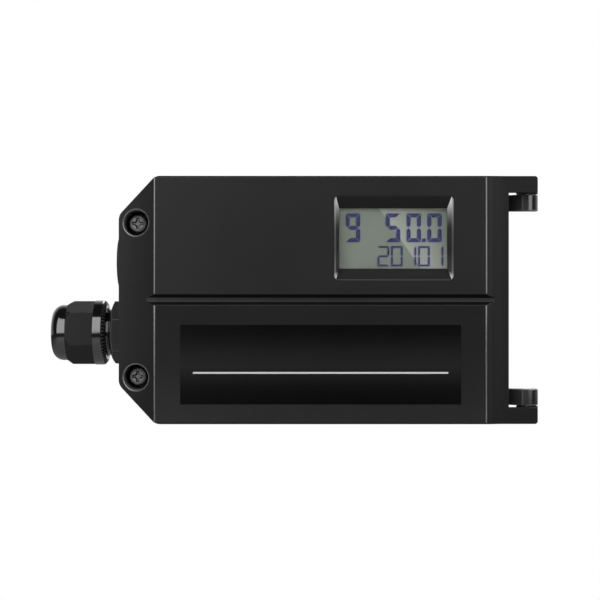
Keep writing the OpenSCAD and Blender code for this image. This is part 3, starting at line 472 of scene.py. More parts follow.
def makeFrameFinish():
    # black bevel; the two upright bevels carry a painted silver reflection towards their ends, and the rims
    # beside them less of it
    low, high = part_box("window_frame")
    material, tree, shader = newFinish("bevelPaintedReflection")
    place = splitVector(tree, objectPlace(tree))
    facing = splitVector(tree, tree.nodes.new("ShaderNodeNewGeometry").outputs["Normal"])
    upright = mathNode(tree, "GREATER_THAN", mathNode(tree, "ABSOLUTE", facing["X"]), window["bevelLean"])
    flat = mathNode(tree, "LESS_THAN", facing["Y"], window["flatFacing"])
    aside = mathNode(tree, "ABSOLUTE", mathNode(tree, "SUBTRACT", place["X"], (low.x + high.x) / 2))
    rim = mathNode(tree, "MULTIPLY", mathNode(tree, "GREATER_THAN", aside, window["rimStart"]), flat)
    footHeight, footReflection = window["footRim"]
    foot = mathNode(tree, "MULTIPLY", mathNode(tree, "LESS_THAN", place["Z"], low.z + footHeight), flat)
    paintedReflection = mathNode(tree, "MULTIPLY", foot, footReflection)
    for part, stops in ((upright, window["bevelFade"]), (rim, window["rimFade"])):
        fade = fadeByHeight(tree, place["Z"], low.z, high.z, stops)
        paintedReflection = mathNode(tree, "MULTIPLY_ADD", part, fade, paintedReflection)
    bare = mixColour(tree, upright, window["frameColour"], window["bevelColour"])
    feed(tree, shader.inputs["Base Color"], mixColour(tree, paintedReflection, bare, window["paintedReflection"]))
    feed(tree, shader.inputs["Specular IOR Level"], window["specular"])
    smear(tree, shader, *window["frameSmear"])
    return material


def makeClearFinish():
    # clear pane with faint smears
    material, tree, shader = newFinish("clearWindow")
    for key, value in window["pane"].items():
        shader.inputs[key].default_value = value
    smear(tree, shader, *window["paneSmear"])
    return material


film = {
    # darker tone, lighter tone under a painted glare, and roughness of what lies under the display's film
    "displayGrey": ((0.110, 0.127, 0.105, 1), (0.205, 0.215, 0.190, 1), 0.55),
    "displayShade": ((0.070, 0.080, 0.070, 1), (0.125, 0.131, 0.120, 1), 0.55),
    "displayInk": ((0.004, 0.006, 0.060, 1), (0.012, 0.014, 0.085, 1), 0.5),
}

paintedGlare = {
    "lean": 0.698,  # the film carries a painted glare: lighter where X + lean * Z is past the edge
    "edge": 50.1 * mm,
    "blur": 0.25 * mm,
    "fade": 19.0 * mm,
    "speckleScale": 900.0,
    "speckle": (0.06, 0.97),  # span and least share of the colour
}


def makeFilmFinish(name, dark, light, roughness):
    # a painted glare: a shade lighter past a slanting line, fading out further on
    material, tree, shader = newFinish(name)
    whole = objectPlace(tree)
    place = splitVector(tree, whole)
    edge = paintedGlare["edge"]
    across = mathNode(tree, "MULTIPLY_ADD", place["Z"], paintedGlare["lean"], place["X"])
    past = mapRange(tree, across, edge - paintedGlare["blur"], edge + paintedGlare["blur"])
    left = mapRange(tree, across, edge, edge + paintedGlare["fade"], 1.0, 0.0)
    base = mixColour(tree, mathNode(tree, "MULTIPLY", past, left), dark, light)
    grain = noiseNode(tree, whole, paintedGlare["speckleScale"], 2.0)
    speckle = mathNode(tree, "MULTIPLY_ADD", grain, *paintedGlare["speckle"])
    feed(tree, shader.inputs["Base Color"], mixColour(tree, 1.0, base, speckle, "MULTIPLY"))
    feed(tree, shader.inputs["Roughness"], roughness)
    feed(tree, shader.inputs["Specular IOR Level"], window["specular"])
    return material


board = {
    "roughness": 0.3,
    "tracks": {
        "Scale": 260.0, "Mortar Size": 0.06, "Brick Width": 2.2, "Color1": (0.03, 0.19, 0.07, 1),
        "Color2": (0.028, 0.17, 0.065, 1), "Mortar": (0.06, 0.30, 0.12, 1),
    },
}


def makeBoardFinish():
    # green lacquer over copper tracks
    material, tree, shader = newFinish("boardGreen")
    turned = tree.nodes.new("ShaderNodeMapping")
    turned.inputs["Rotation"].default_value = (math.radians(90), 0, 0)
    tree.links.new(objectPlace(tree), turned.inputs["Vector"])
    tracks = tree.nodes.new("ShaderNodeTexBrick")
    for key, value in board["tracks"].items():
        tracks.inputs[key].default_value = value
    tree.links.new(turned.outputs[0], tracks.inputs["Vector"])
    tree.links.new(tracks.outputs["Color"], shader.inputs["Base Color"])
    feed(tree, shader.inputs["Roughness"], board["roughness"])
    return material


finishes["labelPaintedSheen"] = makeLabelFinish()
finishes["bevelPaintedReflection"] = makeFrameFinish()
finishes["clearWindow"] = makeClearFinish()
finishes["boardGreen"] = makeBoardFinish()
for name, values in film.items():
    finishes[name] = makeFilmFinish(name, *values)
print("finishes made:", len(finishes))

shaping = {
    "merge": 0.003 * mm,  # corners closer than this are one
    "level": math.radians(0.4),  # faces that lean less than this against each other are level
    "smooth": math.radians(34),  # corners up to this are shaded smooth
    "broad": 4 * mm,  # a face wider than this is shaded flat
    "turn": math.radians(35),  # a run of edges bends less than this at each corner
    "together": math.radians(30),  # two edges that leave a corner closer than this are almost one
    "opposite": -0.5,  # two sides of a face that look at each other
    "slack": 0.02,  # for rounding
    "speck": 0.001 * mm,  # what is smaller is dissolved
}


def pieceName(node):
    first, *rest = node.split("_")
    return first + ("".join(word.capitalize() for word in rest) or "Body")


def addPiece(bm, name, node, *finishNames, replaced=True):
    # rides on the node's body, and takes its place if replaced
    piece = newObject(bm, name)
    for finish in finishNames:
        piece.data.materials.append(finishes[finish])
    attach(piece, nodes[node]["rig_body"])
    if replaced:
        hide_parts(node)
    return piece


def keepFlat(mesh, broad):
    # a face wider than broad, and what lies level with it, gets sharp edges
    beside = {}
    wide = []
    for face in mesh.polygons:
        longest = max((mesh.vertices[a].co - mesh.vertices[b].co).length for a, b in face.edge_keys)
        if face.area > broad * longest:
            wide.append(face.index)
        for key in face.edge_keys:
            beside.setdefault(key, []).append(face.index)
    level = set(wide)
    while wide:
        face = mesh.polygons[wide.pop()]
        for other in itertools.chain.from_iterable(beside[key] for key in face.edge_keys):
            together = mesh.polygons[other].normal.dot(face.normal)
            if other not in level and together > math.cos(shaping["level"]):
                level.add(other)
                wide.append(other)
    edges = {key for index in level for key in mesh.polygons[index].edge_keys}
    for edge in mesh.edges:
        if edge.key in edges:
            edge.use_edge_sharp = True


def shadeEvenly(piece, broad=None):
    # smooth shading; faces wider than broad stay flat
    mesh = piece.data
    mesh.shade_smooth()
    mesh.set_sharp_from_angle(angle=shaping["smooth"])
    if broad:
        keepFlat(mesh, broad)
    even = piece.modifiers.new("evenNormals", "WEIGHTED_NORMAL")
    even.keep_sharp = True
    even.weight = 100


def mergedCopy(node):
    bm = bmesh.new()
    bm.from_mesh(nodes[node].data)
    bmesh.ops.remove_doubles(bm, verts=bm.verts, dist=shaping["merge"])
    bmesh.ops.dissolve_limit(bm, angle_limit=shaping["level"], verts=bm.verts, edges=bm.edges)
    return bm


def bevelEdges(bm, edges, width, segments):
    made = bmesh.ops.bevel(bm, geom=edges, offset=width, offset_type="OFFSET", segments=segments, profile=0.5,
                           affect="EDGES", material=-1)
    return made["faces"]


def turnVerts(bm, verts, degrees, axis):
    bmesh.ops.rotate(bm, cent=(0, 0, 0), matrix=Matrix.Rotation(math.radians(degrees), 3, axis), verts=verts)


def raiseFaces(bm, faces, along):
    made = bmesh.ops.extrude_face_region(bm, geom=faces)["geom"]
    bmesh.ops.translate(bm, vec=along, verts=[item for item in made if isinstance(item, bmesh.types.BMVert)])


def besideNarrow(bm, sharp, width):
    # sharp edges that face each other across less than two widths, with the runs of edges they belong to
    found = set()
    slack = shaping["slack"]
    for face in bm.faces:
        sides = []
        for loop in face.loops:
            if loop.edge in sharp:
                start, end = loop.vert.co, loop.link_loop_next.vert.co
                inward = face.normal.cross(end - start).normalized()
                sides.append((loop.edge, start, end, inward))
        for (one, start, end, inward), (other, *ends, outward) in itertools.permutations(sides, 2):
            if inward.dot(outward) < shaping["opposite"]:
                middle = (start + end) / 2
                foot, share = intersect_point_line(middle, *ends)
                apart = (foot - middle).dot(inward)
                if -slack < share < 1 + slack and 0 < apart < (2 + slack) * width:
                    found.update((one, other))
    waiting = list(found)
    while waiting:
        edge = waiting.pop()
        for vert in edge.verts:
            for beyond in vert.link_edges:
                if beyond in sharp and beyond not in found:
                    turn = (edge.other_vert(vert).co - vert.co).angle(vert.co - beyond.other_vert(vert).co, 0)
                    if turn < shaping["turn"]:
                        found.add(beyond)
                        waiting.append(beyond)
    return found


def softenEdges(bm, node, width, angle, staysSharp=None):
    # breaks each corner past the angle, apart from those that staysSharp names or, without it,
    # those beside a face too narrow for the width
    wearAndSheen = bm.faces.layers.float.new("edgeWearAndSheen")
    sharp = set()
    for edge in bm.edges:
        if len(edge.link_faces) == 2 and math.degrees(edge.calc_face_angle(0)) > angle:
            if staysSharp is None or not staysSharp(edge):
                sharp.add(edge)
    for vert in bm.verts:  # of two edges that leave a corner almost together, the shorter stays sharp
        around = [edge for edge in vert.link_edges if edge in sharp]
        for one, other in itertools.combinations(around, 2):
            arms = [edge.other_vert(vert).co - vert.co for edge in (one, other)]
            if arms[0].angle(arms[1], 0) < shaping["together"]:
                sharp.discard(min((one, other), key=lambda edge: edge.calc_length()))
    if staysSharp is None:
        sharp -= besideNarrow(bm, sharp, width)
    for face in bevelEdges(bm, list(sharp), width, 2):  # a rebuilt face beside the edge can be among them
        if face.calc_area() < 2 * width * max(edge.calc_length() for edge in face.edges):
            face[wearAndSheen] = 1.0
    low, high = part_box(node)
    for vert in bm.verts:  # nothing stands outside the solid
        vert.co = [min(max(value, least), most) for value, least, most in zip(vert.co, low, high)]
    bmesh.ops.dissolve_degenerate(bm, dist=shaping["speck"], edges=bm.edges)


# pieces whose solid is right and only needs its edges broken
softened = {
    # node: finish, edge radius in mm, least corner in degrees
    "base_housing": ("baseBlack", 0.32, 32),
    "gland_dome_nut": ("glandGloss", 0.3, 20),
    "blanking_plug": ("flangeMatte", 0.25, 32),
    "pneumatic_block": ("blockMetal", 0.3, 32),
    "feedback_shaft": ("shaftSteel", 0.3, 32),
    "electronics_cover": ("greyPlastic", 0.3, 32),
    "display_module": ("darkPlastic", 0.2, 32),
    "terminal_block": ("terminalGreen", 0.2, 32),
    "hand_key": ("whitePlastic", 0.35, 32),
    "up_key": ("whitePlastic", 0.35, 32),
    "down_key": ("whitePlastic", 0.35, 32),
    "pilot_valve": ("darkPlastic", 0.4, 32),
    "potentiometer": ("bluePlastic", 0.3, 32),
}
for node, (finish, width, corner) in softened.items():
    bm = mergedCopy(node)
    softenEdges(bm, node, width * mm, corner)
    shadeEvenly(addPiece(bm, pieceName(node), node, finish), shaping["broad"])
print("edges broken on", len(softened), "pieces")

cover = {
    "finishes": ("coverBlack", "borePaintedLight", "edgePolish", "paintedShadeBlack", "ledgeShadedBlack"),
    "edge": 0.24 * mm,
    "edgeCorner": 32,  # degrees
    "edgeWearAndSheen": 0.05,  # wear on the edges
    "creases": (-60.5 * mm, 66.1 * mm),  # the two polished creases down the front
    "creaseWidth": 0.7 * mm,
    "creaseFacing": -0.85,  # their normals' Y is below this, and their X is in this range
    "creaseLean": (0.02, 0.5),
    "creasePaintedSheen": (0.1, 0.55),  # painted highlight along the creases, above and below the groove
    "ledge": 68.5 * mm,  # from here on the cover is less glossy and a little darker, a painted shade
    "ear": 11.6 * mm,  # how far the ears stand out on the right
    "earBack": 4.6 * mm,  # and how thick they are
    "seatMargin": 0.3 * mm,  # round the seats of the label and the window
    "seatDepth": 0.5 * mm,
    "boreRadius": 4.9 * mm,
    "boreDepth": 7.0 * mm,
    "boreWall": 4.93 * mm,  # the bore's own faces end within this
    "boreEdge": 0.5 * mm,
    # painted highlight on the bore rims, on top of their wear
    "borePaintedSheen": 0.55,
    "near": 0.05 * mm,  # an edge this close lies on a rim
    "groove": (0.15 * mm, 2.0 * mm),  # middle and half width
    "grooveFacing": -0.4,  # its walls' normals: Y is below this, and Z is in this range
    "grooveLean": (0.4, 0.9),
    "hollowTop": -2.0 * mm,  # the panel below the groove is a little hollow
    "hollowFoot": -32.0 * mm,
    "hollowLean": 10.0,  # degrees
    "slopeWidth": 14.3 * mm,  # so is the left slope
    "slopeLean": 4.0,
}


def makeFrontCover():
    bm = mergedCopy("front_cover")
    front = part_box("front_cover")[0].y
    seats = [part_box("front_label"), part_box("window_frame")]
    bores = [sum(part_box(node), Vector()) / 2 for node in ("upper_cover_screw", "lower_cover_screw")]
    paint = {finish: number for number, finish in enumerate(cover["finishes"])}
    grooveMiddle, grooveHalf = cover["groove"]

    def boreReach(point):
        return min(math.hypot(point.x - bore.x, point.z - bore.z) for bore in bores)

    def onRim(edge):
        near = all(abs(boreReach(vert.co) - cover["boreRadius"]) < cover["near"] for vert in edge.verts)
        outside = all(vert.co.y < front + cover["boreDepth"] for vert in edge.verts)
        return near and outside and math.degrees(edge.calc_face_angle(0)) > cover["edgeCorner"]

    def staysSharp(edge):
        # the seats of the label and the window, and the thin rims at the backs of the ears
        middle = (edge.verts[0].co + edge.verts[1].co) / 2
        atBack = all(abs(vert.co.y - front - cover["earBack"]) < cover["near"] for vert in edge.verts)
        if middle.x > cover["ledge"] and atBack:
            return True
        margin = cover["seatMargin"]
        for low, high in seats:
            inWidth = low.x - margin < middle.x < high.x + margin
            inHeight = low.z - margin < middle.z < high.z + margin
            if inWidth and inHeight and middle.y < front + cover["seatDepth"]:
                return True
        return False

    def onCrease(face, middle):
        least, most = cover["creaseLean"]
        leans = face.normal.y < cover["creaseFacing"] and least < abs(face.normal.x) < most
        aside = min(abs(middle.x - place) for place in cover["creases"])
        return leans and aside < cover["creaseWidth"] / 2

    def inGroove(face, middle):
        least, most = cover["grooveLean"]
        leans = face.normal.y < cover["grooveFacing"] and least < abs(face.normal.z) < most
        return leans and abs(middle.z - grooveMiddle) < grooveHalf

    rims = [edge for edge in bm.edges if onRim(edge)]
    for face in bevelEdges(bm, rims, cover["boreEdge"], 4):  # a rebuilt face beside the rim can be among them
        if all(boreReach(vert.co) < cover["boreRadius"] + 2 * cover["boreEdge"] for vert in face.verts):
            face.material_index = paint["edgePolish"]
    softenEdges(bm, "front_cover", cover["edge"], cover["edgeCorner"], staysSharp)
    wearAndSheen = bm.faces.layers.float["edgeWearAndSheen"]
    for face in bm.faces:
        middle = face.calc_center_median()
        broken = face[wearAndSheen] > 0
        face[wearAndSheen] *= cover["edgeWearAndSheen"]
        if face.material_index == paint["edgePolish"]:  # the rims of the bores, with a painted highlight on top of their wear
            face[wearAndSheen] = cover["borePaintedSheen"]
        elif all(boreReach(vert.co) < cover["boreWall"] for vert in face.verts):
            # painted light: the bore walls are lighter than the cover
            face.material_index = paint["borePaintedLight"]
        elif onCrease(face, middle) and not broken:
            face.material_index = paint["edgePolish"]
            # a painted highlight along the crease, lighter below the groove
            face[wearAndSheen] = cover["creasePaintedSheen"][middle.z < grooveMiddle]
        elif inGroove(face, middle):
            # painted shade on the groove walls
            face.material_index = paint["paintedShadeBlack"]
        elif middle.x > cover["ledge"]:
            # painted shade: the ledge and ears are a darker, duller copy of the cover's black
            face.material_index = paint["ledgeShadedBlack"]
    shadeEvenly(addPiece(bm, "frontCover", "front_cover", *cover["finishes"]), shaping["broad"])


def hollowCover():
    # the lower panel and the left slope are a little hollow: a broad bump added to the grain
    tree = finishes["coverBlack"].node_tree
    shader = tree.nodes["Principled BSDF"]
    grain = shader.inputs["Normal"].links[0].from_socket
    place = splitVector(tree, objectPlace(tree))
    leftCrease, rightCrease = cover["creases"]
    height = mathNode(tree, "MINIMUM", place["Z"], cover["hollowTop"])
    rise = mathNode(tree, "SUBTRACT", height, cover["hollowFoot"])
    bend = math.tan(math.radians(cover["hollowLean"])) / (cover["hollowTop"] - cover["hollowFoot"]) / 2
    bowl = mathNode(tree, "MULTIPLY", mathNode(tree, "MULTIPLY", rise, rise), bend)
    pastLeft = mathNode(tree, "GREATER_THAN", place["X"], leftCrease)
    beforeRight = mathNode(tree, "LESS_THAN", place["X"], rightCrease)
    panel = mathNode(tree, "MULTIPLY", bowl, mathNode(tree, "MULTIPLY", pastLeft, beforeRight))
    left = mathNode(tree, "MINIMUM", mathNode(tree, "SUBTRACT", place["X"], leftCrease), 0)
    square = mathNode(tree, "MULTIPLY", left, left)
    dip = mathNode(tree, "MULTIPLY_ADD", square, 1 / cover["slopeWidth"], left)
    slope = mathNode(tree, "MULTIPLY", dip, math.tan(math.radians(cover["slopeLean"])))
    bump = bumpNode(tree, mathNode(tree, "ADD", panel, slope), 1.0, 1.0)
    tree.links.new(grain, bump.inputs["Normal"])
    tree.links.new(bump.outputs[0], shader.inputs["Normal"])


makeFrontCover()
hollowCover()
print("front cover made")

screwHead = {
    "flat": 1.9 * mm,  # radius of the flat top, then it rounds over to the rim
    "rim": 3.25 * mm,
    "drop": 1.2 * mm,
    "roundSteps": 6,
    "shank": 2.0 * mm,
    "tip": 0.4 * mm,
    "steps": 48,
    "cross": (5.0 * mm, 1.9 * mm, 1.0 * mm),  # the driver's cross: length, width, depth
    "crossFoot": (0.72, 1, 0.32),  # how far it narrows towards its foot
    "heart": 3.4 * mm,  # side of the diamond where the arms meet
    "heartFoot": (0.5, 1, 0.5),
    "heartDeeper": 0.4 * mm,
    "shadeReach": 2.25 * mm,  # the cross's walls are painted black as shade up to here
    "shadeFrom": 0.03 * mm,  # and from this depth on
    "wallFacing": 0.9,  # a wall's normal leans less than this along the screw
    "lift": 0.01 * mm,  # off its seal
    "edge": 0.07 * mm,
    "edgeCorner": 35,  # degrees
}


def makeCross(top, place):
    # the tapered cutter of a cross recess
    length, width, depth = screwHead["cross"]
    heart = screwHead["heart"]
    bar = (length, 2 * depth, width), screwHead["crossFoot"]
    diamond = (heart, 2 * depth + screwHead["heartDeeper"], heart), screwHead["heartFoot"]
    bm = bmesh.new()
    for turn, (size, narrowing) in ((0, bar), (90, bar), (45, diamond)):
        block = bmesh.ops.create_cube(bm, size=1)["verts"]
        bmesh.ops.scale(bm, vec=size, verts=block)
        bmesh.ops.scale(bm, vec=narrowing, verts=[vert for vert in block if vert.co.y > 0])
        turnVerts(bm, block, turn, "Y")
    bmesh.ops.translate(bm, vec=(place.x, top, place.z), verts=bm.verts)
    return newObject(bm, "crossCutter")


def makeCoverScrew(node, seal):
    low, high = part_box(node)
    place = (low + high) / 2
    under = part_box(seal)[0].y - screwHead["lift"]
    flat, rim, shank, tip = (screwHead[key] for key in ("flat", "rim", "shank", "tip"))
    line = [(0, low.y), (flat, low.y)]
    for step in range(1, screwHead["roundSteps"] + 1):
        turn = math.radians(90 / screwHead["roundSteps"] * step)
        line.append((flat + (rim - flat) * math.sin(turn), low.y + screwHead["drop"] * (1 - math.cos(turn))))
    line += [(rim, under), (shank, under), (shank, high.y - tip), (shank - tip, high.y), (0, high.y)]
    bm = bmesh.new()
    points = [bm.verts.new((place.x + radius, depth, place.z)) for radius, depth in line]
    edges = [bm.edges.new(pair) for pair in zip(points, points[1:])]
    bmesh.ops.spin(bm, geom=points + edges, cent=place, axis=(0, 1, 0), angle=math.tau,
                   steps=screwHead["steps"], use_merge=True)
    bmesh.ops.remove_doubles(bm, verts=bm.verts, dist=shaping["merge"])
    bmesh.ops.recalc_face_normals(bm, faces=bm.faces)
    screw = addPiece(bm, pieceName(node), node, "screwGrey")
    cutter = makeCross(low.y, place)
    cut = screw.modifiers.new("cross", "BOOLEAN")
    cut.operation = "DIFFERENCE"
    cut.solver = "EXACT"
    cut.use_self = True
    cut.object = cutter
    bpy.context.view_layer.update()
    finished = bpy.data.meshes.new_from_object(screw.evaluated_get(bpy.context.evaluated_depsgraph_get()))
    screw.modifiers.clear()
    screw.data = finished
    bpy.data.objects.remove(cutter)
    finished.materials.append(finishes["paintedShadeBlack"])  # painted shade on the sides of the cross
    for face in finished.polygons:
        reach = math.hypot(face.center.x - place.x, face.center.z - place.z)
        inside = screwHead["shadeFrom"] < face.center.y - low.y < screwHead["cross"][2]
        if inside and reach < screwHead["shadeReach"] and abs(face.normal.y) < screwHead["wallFacing"]:
            face.material_index = 1
    soft = screw.modifiers.new("softEdges", "BEVEL")
    soft.width = screwHead["edge"]
    soft.segments = 2
    soft.limit_method = "ANGLE"
    soft.angle_limit = math.radians(screwHead["edgeCorner"])
    shadeEvenly(screw)


makeCoverScrew("upper_cover_screw", "upper_screw_seal")
makeCoverScrew("lower_cover_screw", "lower_screw_seal")
print("cover screws made")

knuckles = {
    # how the normals of the faces lean
    "rearFacing": 0.5,
    "roundFacing": 0.03,
    "armFacing": -0.3,
}


def polishKnuckles():
    # the hinge knuckles are rubbed smooth, and their arms are painted lighter, as if lit
    base = bpy.data.objects["baseHousing"]
    base.data.materials.append(finishes["edgePolish"])
    base.data.materials.append(finishes["flangeMatte"])
    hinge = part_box("hinge_pins")
    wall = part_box("front_cover")[1].x - cover["ear"]
    for face in base.data.polygons:
        if face.center.y > hinge[1].y or face.normal.y > knuckles["rearFacing"]:
            continue
        if face.center.x > hinge[0].x and face.normal.x > knuckles["roundFacing"]:
            face.material_index = 1
        elif face.center.x > wall and face.normal.y < knuckles["armFacing"]:
            face.material_index = 2  # the arms that carry them, painted lighter than the housing as if lit


polishKnuckles()
print("knuckles polished")

ridge = {
    # half widths of a thread's ridge as shares of its pitch
    "foot": 0.42,
    "top": 0.06,
    "leastSteps": 8,
}


def addRidge(bm, start, along, core, crest, pitch, length, stepsPerTurn=32):
    # a screw thread's ridge: a small four-sided profile swept round and along the axis
    along = Vector(along).normalized()
    out = along.orthogonal().normalized()
    start = Vector(start)
    half = ridge["foot"] * pitch
    top = ridge["top"] * pitch
    corners = [(core, half), (crest, top), (crest, -top), (core, -half)]
    ring = [bm.verts.new(start + out * radius + along * (half + rise)) for radius, rise in corners]
    first = bm.faces.new(ring)
    turns = (length - 2 * half) / pitch
    steps = max(ridge["leastSteps"], round(turns * stepsPerTurn))
    bmesh.ops.spin(bm, geom=[first], cent=start, axis=along, dvec=along * (pitch * turns / steps),
                   angle=math.tau * turns, steps=steps)


gland = {
    "threadCore": 9.3 * mm,
    "threadCrest": 9.88 * mm,
    "pitch": 1.5 * mm,
    "flange": 6.3 * mm,  # how thick the flange is
    "threadGap": 0.2 * mm,  # from the flange to the thread
    "threadSunk": 0.1 * mm,  # the ridge is let into the core
    "threadLoops": (0.01 * mm, 9.92 * mm),  # edges up to here, along and out, move to the core
    "glossFrom": 0.05 * mm,  # the polish starts this far from the flange
    "edge": 0.3 * mm,
    "edgeCorner": 20,  # degrees
    "flats": (-101.6 * mm, -89.3 * mm),  # where the nut has its six flats
    "flatFacing": 0.9,  # their normals lean less than this along the gland
    "teeth": 54,  # grip teeth on the back of the nut's collar
    "toothSize": (1.7 * mm, 0.55 * mm, 0.5 * mm),
    "toothEdge": 0.1 * mm,
    "toothPlace": (-85.15 * mm, 12.3 * mm),  # along the gland's axis and out from it
    "toothSlope": 54,  # degrees
    "plugHead": 0.88,  # height of the blanking plug's head as a share of its solid's
}


def glandCentre(node):
    low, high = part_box(node)
    return Vector((0, (low.y + high.y) / 2, (low.z + high.z) / 2))


def makeGlandBody():
    # the body with its thread cut down to the core, and the thread's ridge wound on it
    bm = mergedCopy("gland_body")
    centre = glandCentre("gland_body")
    core, gap = gland["threadCore"], gland["threadGap"]
    loopsIn, loopsOut = gland["threadLoops"]
    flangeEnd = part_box("gland_washer")[0].x - gland["flange"]
    softenEdges(bm, "gland_body", gland["edge"], gland["edgeCorner"])
    for vert in bm.verts:
        arm = Vector((0, vert.co.y - centre.y, vert.co.z - centre.z))
        if vert.co.x < flangeEnd + loopsIn and core < arm.length < loopsOut:
            vert.co -= arm * (1 - core / arm.length)
    start = (flangeEnd + gap, centre.y, centre.z)
    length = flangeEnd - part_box("gland_body")[0].x - gap
    addRidge(bm, start, (-1, 0, 0), core - gland["threadSunk"], gland["threadCrest"], gland["pitch"], length)
    bmesh.ops.recalc_face_normals(bm, faces=bm.faces)
    piece = addPiece(bm, "glandBody", "gland_body", "flangeMatte", "glandGloss")
    for face in piece.data.polygons:  # the thread is polished
        if face.center.x < flangeEnd - gland["glossFrom"]:
            face.material_index = 1
    shadeEvenly(piece)


def mattFlats():
    nut = bpy.data.objects["glandDomeNut"]
    nut.data.materials.append(finishes["glandMatte"])
    low, high = gland["flats"]
    for face in nut.data.polygons:
        if low < face.center.x < high and abs(face.normal.x) < gland["flatFacing"]:
            face.material_index = 1


def lowerPlug():
    # the blanking plug's head stands a little lower than its solid
    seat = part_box("plug_washer")[0].x
    for vert in bpy.data.objects["blankingPlug"].data.vertices:
        if vert.co.x < seat:
            vert.co.x = seat + (vert.co.x - seat) * gland["plugHead"]


def makeNutTeeth():
    centre = glandCentre("gland_dome_nut")
    bm = bmesh.new()
    bmesh.ops.create_cube(bm, size=1)
    bmesh.ops.scale(bm, vec=gland["toothSize"], verts=bm.verts)
    bevelEdges(bm, bm.edges[:], gland["toothEdge"], 1)
    turnVerts(bm, bm.verts, gland["toothSlope"], "Y")
    along, out = gland["toothPlace"]
    bmesh.ops.translate(bm, vec=centre + Vector((along, 0, out)), verts=bm.verts)
    steps = gland["teeth"] - 1
    bmesh.ops.spin(bm, geom=bm.verts[:] + bm.edges[:] + bm.faces[:], cent=centre, axis=(1, 0, 0),
                   angle=math.tau * steps / gland["teeth"], steps=steps, use_duplicate=True)
    # the teeth are painted grey, lighter than the black nut, standing in for the light they catch
    addPiece(bm, "glandNutTeeth", "gland_dome_nut", "toothGrey", replaced=False)


makeGlandBody()
mattFlats()
lowerPlug()
makeNutTeeth()
print("gland built")

threads = {
    # threads inside bores, and how far they start from the mouth
    "port": {"core": 5.85 * mm, "crest": 5.25 * mm, "pitch": 1.34 * mm, "length": 9.0 * mm},
    "portClear": 1.0 * mm,
    "insert": {"core": 2.56 * mm, "crest": 2.2 * mm, "pitch": 1.0 * mm, "length": 7.0 * mm},
    "insertSteps": 24,  # per turn
    "insertClear": 0.8 * mm,
    "insertTurns": (45, 135, 225, 315),
}


def makeBoreThreads():
    mounts = {mount["name"]: mount for mount in frame["record"]["mounts"]}
    bm = bmesh.new()
    for name in ("upper_port", "middle_port", "lower_port"):
        mouth = Vector(mounts[name]["pos_m"]) - Vector((threads["portClear"], 0, 0))
        addRidge(bm, mouth, (-1, 0, 0), **threads["port"])
    bmesh.ops.recalc_face_normals(bm, faces=bm.faces)
    shadeEvenly(addPiece(bm, "portThreads", "pneumatic_block", "blockMetal", replaced=False))
    reach = mounts["mounting_holes"]["dims"]["pcd_mm"] / 2 * mm
    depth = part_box("mounting_inserts")[1].y - threads["insertClear"]
    bm = bmesh.new()
    for turn in threads["insertTurns"]:
        mouth = (reach * math.cos(math.radians(turn)), depth, reach * math.sin(math.radians(turn)))
        addRidge(bm, mouth, (0, -1, 0), **threads["insert"], stepsPerTurn=threads["insertSteps"])
    bmesh.ops.recalc_face_normals(bm, faces=bm.faces)
    shadeEvenly(addPiece(bm, "insertThreads", "mounting_inserts", "brass", replaced=False))


makeBoreThreads()
print("threads cut")

keyMarks = {
    "size": 1.7 * mm,
    "height": 0.12 * mm,
    "ring": 0.45 * mm,
    "ringCorners": 32,
    "turns": {"up_key": 0, "down_key": -180},  # degrees, for the keys with a triangle
}


def makeKeyMarks():
    # a plain triangle on the two arrow keys and a ring on the third
    for node in ("hand_key", "up_key", "down_key"):
        low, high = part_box(node)
        arrow = node in keyMarks["turns"]
        corners = 3 if arrow else keyMarks["ringCorners"]
        bm = bmesh.new()
        bmesh.ops.create_circle(bm, cap_ends=True, radius=keyMarks["size"], segments=corners)
        if arrow:
            turnVerts(bm, bm.verts, keyMarks["turns"][node], "Z")
        else:
            ring = bmesh.ops.inset_region(bm, faces=bm.faces[:], thickness=keyMarks["ring"],
                                          use_boundary=True, use_even_offset=True)["faces"]
            bmesh.ops.delete(bm, geom=[face for face in bm.faces if face not in ring], context="FACES")
        raiseFaces(bm, bm.faces[:], (0, 0, keyMarks["height"]))
        turnVerts(bm, bm.verts, 90, "X")
        bmesh.ops.translate(bm, vec=((low.x + high.x) / 2, low.y, (low.z + high.z) / 2), verts=bm.verts)
        bmesh.ops.recalc_face_normals(bm, faces=bm.faces)
        addPiece(bm, pieceName(node) + "Mark", node, "darkPlastic", replaced=False)


makeKeyMarks()
print("keys marked")

# solids that stay as they are, by finish
kept = {
    "brass": ("mounting_inserts", "screw_inserts", "shaft_bush", "upper_throttle", "lower_throttle"),
    "shaftSteel": ("hinge_pins", "potentiometer_rotor"),
    "screwSteel": ("retaining_ring", "gear_plate_screws", "potentiometer_nut", "block_screws", "board_screws",
                   "terminal_screws"),
    "blockMetal": ("gear_plate",),
    "sintered": ("exhaust_silencer",),
    "sealRubber": ("cover_gasket", "upper_screw_seal", "lower_screw_seal", "gland_washer", "gland_seal",
                   "plug_washer", "shaft_seal", "port_gasket"),
    "whitePlastic": ("gland_cage", "gland_slip_ring", "shaft_gear", "pinion"),
    "darkPlastic": ("gland_lock_nut", "plug_lock_nut", "board_components", "key_switches"),
    "yellowPlastic": ("adjusting_wheel",),
    "boardGreen": ("main_board",),
    "labelPaintedSheen": ("front_label",),
    "bevelPaintedReflection": ("window_frame",),
    "clearWindow": ("display_window",),
    "displayGrey": ("display_glass",),
}
for finish, solids in kept.items():
    for node in solids:
        nodes[node].data.materials.clear()
        nodes[node].data.materials.append(finishes[finish])
nodes["display_window"].visible_shadow = False  # light reaches the display through the window
print("solids finished")

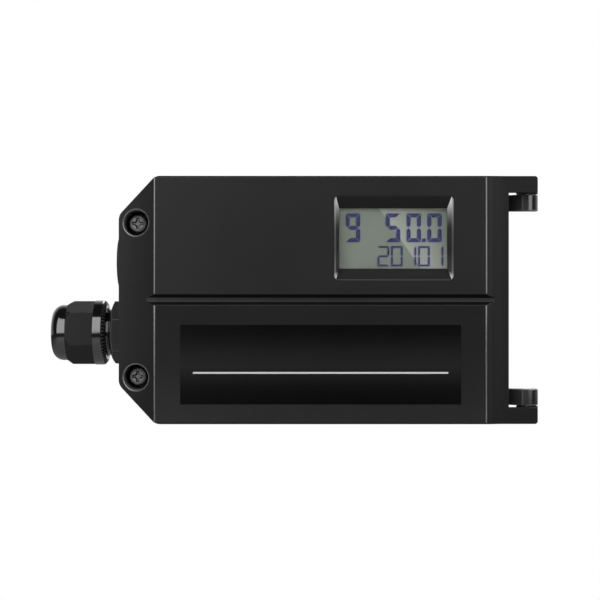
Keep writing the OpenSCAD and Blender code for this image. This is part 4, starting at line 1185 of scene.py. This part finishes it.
digits = {
    "strokes": {"0": "abcdef", "1": "bc", "2": "abged", "5": "afgcd", "9": "abcdfg"},
    "thickness": 0.12 * mm,
    "rows": [
        # text, then in mm: left edge, bottom edge, digit width, height, pitch, stroke
        ("9", 12.65, 22.3, 5.57, 11.1, 0.0, 1.55),
        ("500", 28.1, 22.3, 5.57, 11.1, 8.0, 1.55),
        ("20101", 24.9, 12.96, 4.5, 7.85, 5.22, 0.72),
    ],
    "point": (42.1, 22.3, 1.4),  # left edge, bottom edge and side, in mm
    "shade": (-0.32, -0.1),  # how far the digits' faint shade falls to the left and down, in mm
    "shadeThickness": 0.048 * mm,
}


def strokeCorners(key, w, h, t):
    # a stroke of a digit: a is the top, g the middle, d the bottom, and the rest the sides
    gap = 0.12 * t
    middle = h / 2
    over = middle + t / 2 + gap
    upper = [(0, h - gap), (t, h - t - gap), (t, over), (t / 2, middle + gap), (0, over)]
    shapes = {
        "a": [(gap, h), (w - gap, h), (w - t - gap, h - t), (t + gap, h - t)],
        "g": [(t / 2 + gap, middle), (t + gap, middle + t / 2), (w - t - gap, middle + t / 2),
              (w - t / 2 - gap, middle), (w - t - gap, middle - t / 2), (t + gap, middle - t / 2)],
        "f": upper,
        "b": [(w - x, z) for x, z in upper],
        "e": [(x, h - z) for x, z in upper],
        "c": [(w - x, h - z) for x, z in upper],
    }
    shapes["d"] = [(x, h - z) for x, z in shapes["a"]]
    return shapes[key]


def makeDigits(name, finish, shift, thickness):
    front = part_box("display_glass")[0].y
    bm = bmesh.new()

    def addStroke(corners, x, z):
        places = [((x + shift[0] + a) * mm, front, (z + shift[1] + b) * mm) for a, b in corners]
        face = bm.faces.new([bm.verts.new(place) for place in places])
        raiseFaces(bm, [face], (0, -thickness, 0))

    for text, left, bottom, w, h, pitch, t in digits["rows"]:
        for number, figure in enumerate(text):
            for key in digits["strokes"][figure]:
                addStroke(strokeCorners(key, w, h, t), left + number * pitch, bottom)
    x, z, side = digits["point"]
    addStroke([(0, 0), (side, 0), (side, side), (0, side)], x, z)
    bmesh.ops.recalc_face_normals(bm, faces=bm.faces)
    addPiece(bm, name, "display_glass", finish, replaced=False)


makeDigits("displayShade", "displayShade", digits["shade"], digits["shadeThickness"])
makeDigits("displayDigits", "displayInk", (0, 0), digits["thickness"])
print("display drawn")
